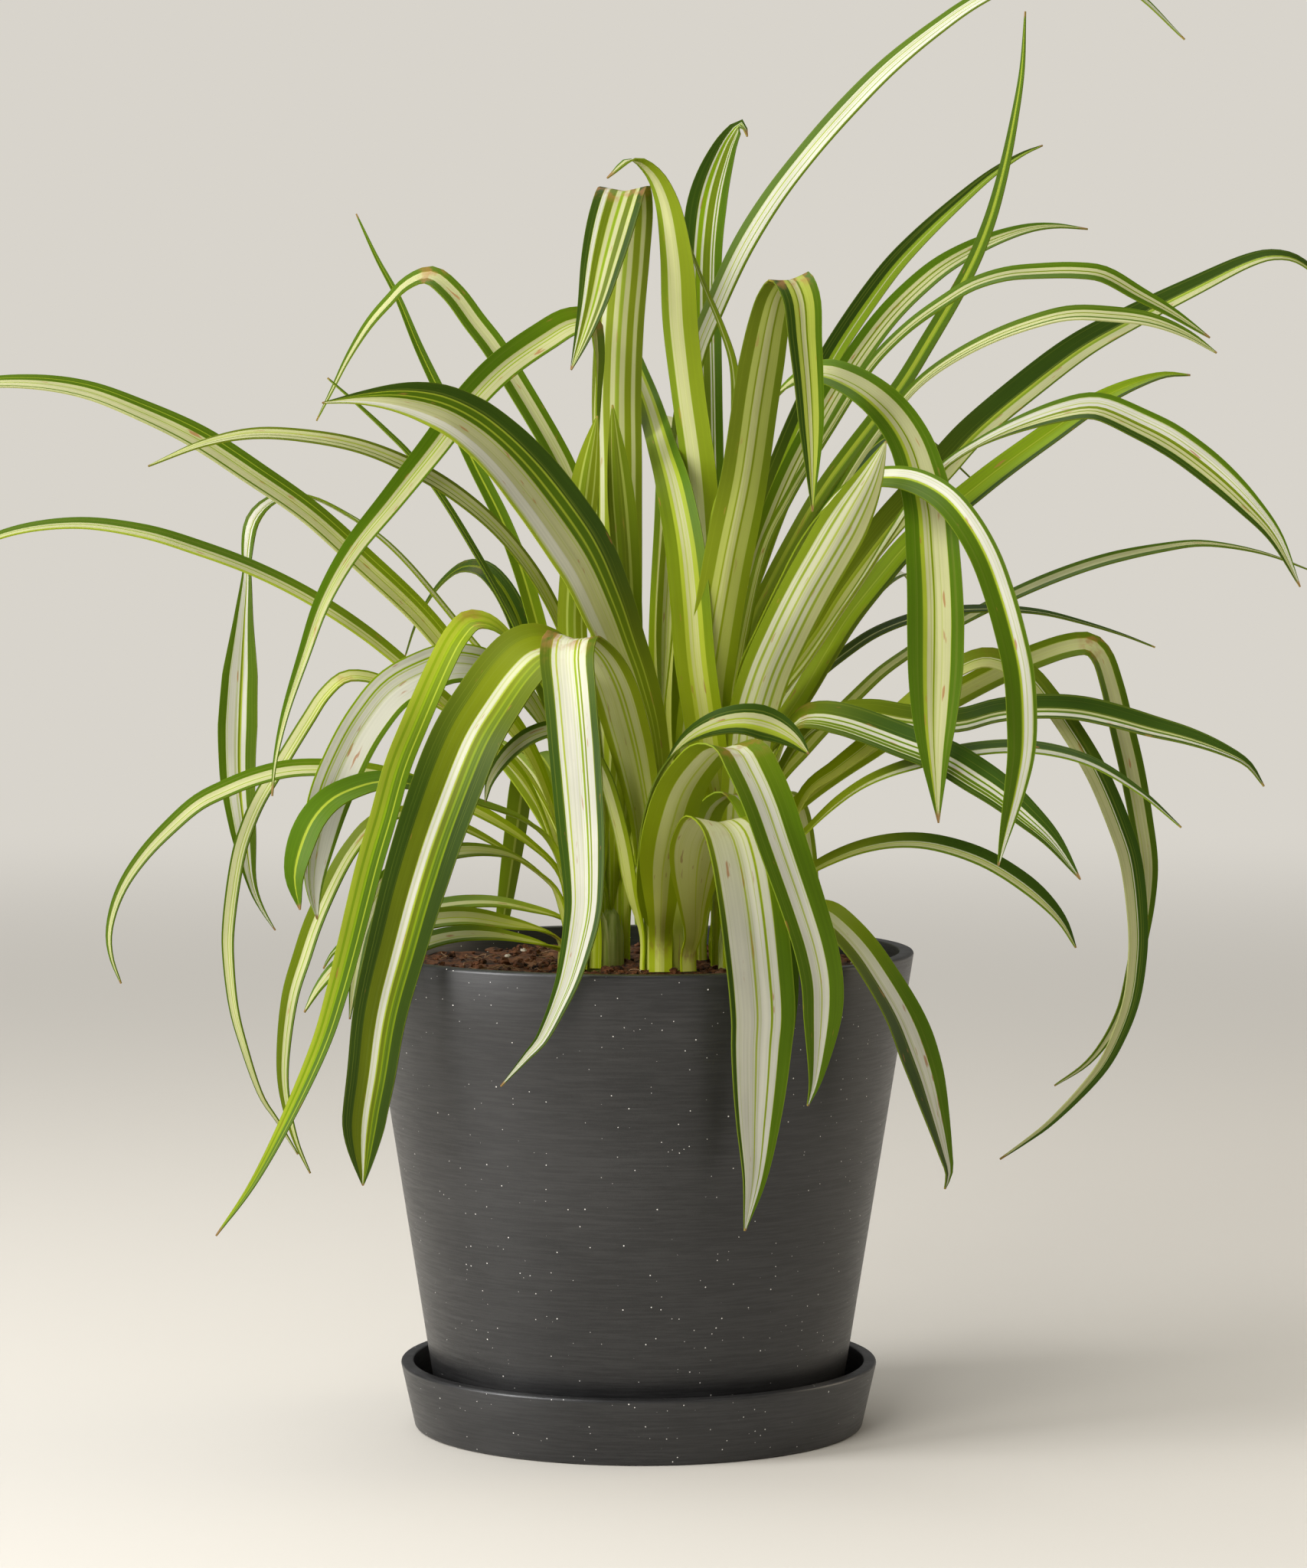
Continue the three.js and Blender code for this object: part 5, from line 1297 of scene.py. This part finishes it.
@dataclass
class Soil:
    """The potting mix: a lumpy top, loose crumbs and fibres, in mm."""

    radius: float = 92.6
    top: float = 168.0
    depth: float = 22.0
    sink: float = 1.2  # of the middle height below the top
    lowest: float = -1.6
    highest: float = 1.1
    lump_rate: float = 0.06
    lump_height: float = 1.5
    fine_rate: float = 0.35
    fine_height: float = 0.9
    hub: float = 0.6
    rings: int = 72
    sides: int = 168
    skirt: float = 3.2
    crumb_reach: float = 0.97  # how far out they lie, in shares of the radius
    fibre_reach: float = 0.93
    smallest: float = 0.25  # crumb, as a share of the largest
    dents: float = 0.35
    rise: float = 0.35  # of a crumb's middle over the soil, in shares of its height
    fibres: int = 120
    fibre_radius: float = 0.16
    fibre_step: float = 1.6
    fibre_steps: int = 6

    def height(self, x: float, y: float) -> float:
        """How high the soil is at a place.

        Args:
            x: The place across.
            y: The place away from the viewer.

        Returns:
            The height.
        """
        lump = Vector((x * self.lump_rate, y * self.lump_rate, 3.0))
        fine = Vector((x * self.fine_rate, y * self.fine_rate, 9.0))
        rough = (noise.fractal(lump, 0.9, 2.1, 4) * self.lump_height
                 + noise.fractal(fine, 0.8, 2.2, 4) * self.fine_height)
        return self.top - self.sink + max(self.lowest, min(self.highest, rough))

    def bed(self) -> bpy.types.Object:
        """Makes the body of the soil, with its lumpy top.

        Returns:
            The piece.
        """
        made = Turned("soil_bed", self.hub, self.top, self.sides)
        for step in range(1, self.rings):
            made.to(self.hub + (self.radius - self.hub) * step / (self.rings - 1), self.top)
        made.to(self.radius - self.skirt, self.top - self.depth)
        piece = made.closed(capped=True)
        for vertex in piece.data.vertices:
            if vertex.co.z > (self.top - 1) * MM:
                vertex.co.z = self.height(vertex.co.x / MM, vertex.co.y / MM) * MM
        return piece

    def loose(self, name: str, count: int, largest: float, squash: float) -> bpy.types.Object:
        """Makes loose crumbs, all in one piece.

        Args:
            name: The piece's name.
            count: How many crumbs there are.
            largest: The radius of the largest.
            squash: How flat they lie, up to 1 for round.

        Returns:
            The piece.
        """
        deselect()
        bpy.ops.mesh.primitive_ico_sphere_add(subdivisions=2, radius=1)
        shape = bpy.context.active_object
        corners = np.array([vertex.co[:] for vertex in shape.data.vertices])
        faces = [tuple(face.vertices) for face in shape.data.polygons]
        points, polygons = [], []
        draw = np.random.default_rng(sum(map(ord, name)))
        for _ in range(count):
            reach = self.radius * self.crumb_reach * math.sqrt(draw.random())
            angle = draw.random() * math.tau
            size = largest * (self.smallest + (1 - self.smallest) * draw.random() ** 3)
            x, y = reach * math.cos(angle), reach * math.sin(angle)
            if reach + size > self.radius:
                continue
            bent = corners * (1 + self.dents * (draw.random((len(corners), 1)) - 0.5) * 2)
            turned = np.linalg.qr(draw.normal(size=(3, 3)))[0]
            lump = bent @ turned * (size, size * 0.8, size * squash)
            start = len(points) * len(corners)
            points.append(lump + (x, y, self.height(x, y) + size * squash * self.rise))
            polygons += [tuple(start + corner for corner in face) for face in faces]
        shape.data.clear_geometry()
        shape.data.from_pydata((np.vstack(points) * MM).tolist(), [], polygons)
        shape.name = shape.data.name = name
        take(shape)
        bpy.ops.object.mode_set(mode="EDIT")
        bpy.ops.mesh.select_all(action="SELECT")
        bpy.ops.mesh.normals_make_consistent(inside=False)
        bpy.ops.object.mode_set(mode="OBJECT")
        return shape

    def threads(self) -> bpy.types.Object:
        """Makes thin fibres that lie on the soil, as one piece.

        Returns:
            The piece.
        """
        draw = np.random.default_rng(11)
        data = bpy.data.curves.new("soil_fibres", "CURVE")
        data.dimensions = "3D"
        data.bevel_depth = self.fibre_radius * MM
        data.bevel_resolution = 0
        data.use_fill_caps = True
        for _ in range(self.fibres):
            reach = self.radius * self.fibre_reach * math.sqrt(draw.random())
            angle, heading = draw.random(2) * math.tau
            x, y = reach * math.cos(angle), reach * math.sin(angle)
            spline = data.splines.new("POLY")
            spline.points.add(self.fibre_steps)
            lift = 0.25 + draw.random() * 1.3
            for place, point in enumerate(spline.points):
                arch = math.sin(place / self.fibre_steps * math.pi)
                z = self.height(x, y) + 0.2 + lift * arch
                point.co = (x * MM, y * MM, z * MM, 1)
                heading += draw.normal() * 0.5
                x += self.fibre_step * math.cos(heading)
                y += self.fibre_step * math.sin(heading)
                if math.hypot(x, y) > self.radius - 1:
                    x, y = x * 0.96, y * 0.96
        piece = bpy.data.objects.new("soil_fibres", data)
        bpy.context.collection.objects.link(piece)
        take(piece)
        bpy.ops.object.convert(target="MESH")
        return bpy.context.active_object

    def build(self) -> None:
        """Makes the soil and dresses it."""
        mix = Earth("soil").build()
        bed = self.bed()
        bed.data.materials.append(mix)
        finished(bed, "soil", "soil")
        loose = (
            ("soil_crumbs", 900, 2.4, 0.75, mix),
            ("bark_chips", 60, 3.6, 0.35, Earth("bark", brown=(0.11, 0.05, 0.024)).build()),
            ("pale_grit", 45, 1.3, 0.8, Plain("grit", (0.42, 0.37, 0.29)).build()),
        )
        for name, count, largest, squash, skin in loose:
            piece = self.loose(name, count, largest, squash)
            piece.data.materials.append(skin)
            finished(piece, "soil")
        threads = self.threads()
        threads.data.materials.append(Plain("fibre", (0.24, 0.145, 0.075)).build())
        finished(threads, "soil")


@dataclass
class Cores:
    """The stubs of the crowns, standing in the soil, in mm."""

    foot_radius: float = 3.52
    radius: float = 4.4
    top_radius: float = 3.3
    tip_radius: float = 1.32
    foot: float = -20.0  # heights, over the soil
    toe: float = -12.0
    neck: float = 8.4
    shoulder: float = 16.8
    tip: float = 21.0
    sides: int = 28

    def build(self, skin: bpy.types.Material) -> None:
        """Makes a stub for each crown.

        Args:
            skin: Their finish.
        """
        for crown in Crown:
            made = Turned(f"stub_{crown.value[0]}", self.foot_radius, SOIL_LEVEL + self.foot,
                          self.sides)
            made.to(self.radius, SOIL_LEVEL + self.toe)
            made.to(self.radius, SOIL_LEVEL + self.neck)
            made.to(self.top_radius, SOIL_LEVEL + self.shoulder)
            made.to(self.tip_radius, SOIL_LEVEL + self.tip)
            piece = made.closed(capped=True)
            for vertex in piece.data.vertices:
                vertex.co += Vector(crown.centre * MM)
            piece.data.materials.append(skin)
            finished(piece, "crown", crown.node)


@dataclass(frozen=True)
class Stub(Finish):
    """The pale sappy skin of a crown's stub."""

    pale: tuple = (0.42, 0.46, 0.13)
    green: tuple = (0.26, 0.34, 0.05)
    lines: tuple = (900.0, 40.0)  # how often the noise changes in a metre across and up

    def surface(self, made: Nodes) -> Socket:
        """The streaked shader.

        Args:
            made: The material in the making.

        Returns:
            The shader.
        """
        lines = made.noise(made.stretched(self.lines), 1.0)
        colour = made.mix(made.ramp(lines, 0.35, 0.7), self.pale, self.green)
        return made.shader(colour, 0.45, made.bump(lines, 0.3, 0.0002), 0.4)


@dataclass(frozen=True)
class Lamp:
    """A soft rectangular light: where it is, its width and height, its power and its colour."""

    name: str
    place: tuple
    size: tuple
    watts: float
    tint: tuple
    sheen: bool = True

    def build(self, aim: tuple) -> None:
        """Adds the light, turned to a point.

        Args:
            aim: The point.
        """
        data = bpy.data.lights.new(self.name, "AREA")
        data.shape = "RECTANGLE"
        data.size, data.size_y = self.size
        data.energy = self.watts
        data.color = self.tint
        made = bpy.data.objects.new(self.name, data)
        bpy.context.collection.objects.link(made)
        made.location = self.place
        made.rotation_mode = "QUATERNION"
        made.rotation_quaternion = (Vector(aim) - Vector(self.place)).to_track_quat("-Z", "Y")
        made.visible_glossy = self.sheen


LAMPS = (
    Lamp("window", (-1.5, -0.65, 0.95), (0.8, 1.7), 44, (0.99, 0.99, 1.0)),
    Lamp("front", (-0.9, -1.8, 1.3), (1.2, 1.2), 44, (1.0, 0.99, 0.96), False),
    Lamp("sky", (-0.3, 0.5, 2.1), (1.6, 1.6), 22, (0.98, 0.99, 1.0)),
    Lamp("warm_side", (1.6, 0.5, 0.7), (0.9, 1.2), 7, (1.0, 0.86, 0.66)),
)


@dataclass(frozen=True)
class Studio:
    """The floor, the camera at the photograph's place, and soft light."""

    focal_pixels: float = 6523.2
    image_width: float = 1707.0
    yaw: float = -0.0028
    pitch: float = 0.0606
    roll: float = 0.0016
    camera_place: tuple = (0.0, -1.8116, 0.344)
    backdrop: tuple = (0.80, 0.765, 0.70)
    floor_colour: tuple = (0.50, 0.475, 0.43)
    backdrop_light: float = 0.86
    room_light: float = 0.42
    room_tint: tuple = (1.0, 0.985, 0.95)
    mirrored_light: float = 0.2
    fade_start: float = 0.5
    fade_end: float = 3.2
    aim: tuple = (0.0, 0.0, 0.25)
    floor_reach: float = 25.0
    floor_gap: float = 0.0002  # under the saucer

    def camera(self) -> None:
        """Makes the camera that the photograph's rims fit."""
        data = bpy.data.cameras.new("camera")
        data.sensor_fit = "HORIZONTAL"
        data.sensor_width = 36.0
        data.lens = self.focal_pixels / self.image_width * data.sensor_width
        data.clip_start = 0.05
        data.clip_end = 100
        made = bpy.data.objects.new("camera", data)
        bpy.context.collection.objects.link(made)
        made.location = self.camera_place
        made.rotation_mode = "QUATERNION"
        made.rotation_quaternion = (
            Quaternion((0, 0, 1), self.yaw)
            @ Quaternion((1, 0, 0), math.pi / 2 - self.pitch)
            @ Quaternion((0, 0, 1), self.roll))
        bpy.context.scene.camera = made

    def world(self) -> None:
        """Lights the room evenly, and shows a plain pale backdrop behind the plant."""
        world = bpy.data.worlds.new("room")
        bpy.context.scene.world = world
        world.use_nodes = True
        tree = world.node_tree
        tree.nodes.clear()
        path = tree.nodes.new("ShaderNodeLightPath")
        seen, lit = (tree.nodes.new("ShaderNodeBackground") for _ in range(2))
        seen.inputs[0].default_value = (*self.backdrop, 1)
        seen.inputs[1].default_value = self.backdrop_light
        lit.inputs[0].default_value = (*self.room_tint, 1)
        calm = tree.nodes.new("ShaderNodeMath")
        calm.operation = "MULTIPLY_ADD"
        calm.inputs[1].default_value = self.mirrored_light - self.room_light
        calm.inputs[2].default_value = self.room_light
        mixed = tree.nodes.new("ShaderNodeMixShader")
        out = tree.nodes.new("ShaderNodeOutputWorld")
        for source, target in (
                (path.outputs["Is Glossy Ray"], calm.inputs[0]),
                (calm.outputs[0], lit.inputs[1]),
                (path.outputs["Is Camera Ray"], mixed.inputs[0]),
                (lit.outputs[0], mixed.inputs[1]),
                (seen.outputs[0], mixed.inputs[2]),
                (mixed.outputs[0], out.inputs[0])):
            tree.links.new(source, target)

    def floor(self) -> bpy.types.Material:
        """The floor's finish: a plain table that fades into the backdrop far away.

        Returns:
            The material.
        """
        made = Nodes("floor")
        place = made.node("ShaderNodeTexCoord").outputs["Object"]
        reach = made.node("ShaderNodeVectorMath", operation="LENGTH")
        made.link(place, reach.inputs[0])
        far = made.ramp(reach.outputs["Value"], self.fade_start, self.fade_end)
        glow = made.node("ShaderNodeEmission")
        made.set(glow.inputs[0], self.backdrop)
        glow.inputs[1].default_value = self.backdrop_light
        both = made.node("ShaderNodeMixShader")
        made.link(far, both.inputs[0])
        made.link(made.shader(self.floor_colour, 0.8, None, 0.2), both.inputs[1])
        made.link(glow.outputs[0], both.inputs[2])
        made.link(both.outputs[0], made.out.inputs["Surface"])
        return made.material

    def build(self) -> None:
        """Makes the floor, the camera and the lights."""
        deselect()
        bpy.ops.mesh.primitive_circle_add(
            vertices=96, radius=self.floor_reach, fill_type="NGON")
        floor = bpy.context.active_object
        floor.name = "floor"
        floor.location.z = -self.floor_gap
        floor.data.materials.append(self.floor())
        self.camera()
        self.world()
        for lamp in LAMPS:
            lamp.build(self.aim)
        bpy.context.scene.view_settings.view_transform = "Standard"


def main() -> None:
    """Builds the plant, its pot and the studio."""
    logging.basicConfig(level=logging.INFO, format="%(message)s")
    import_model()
    PotAndSaucer().build()
    Soil().build()
    Cores().build(Stub("stub").build())
    blades = LeafBlades()
    for leaf in LEAVES:
        blades.build(leaf)
    Studio().build()
    deselect()


if __name__ == "__main__":
    main()
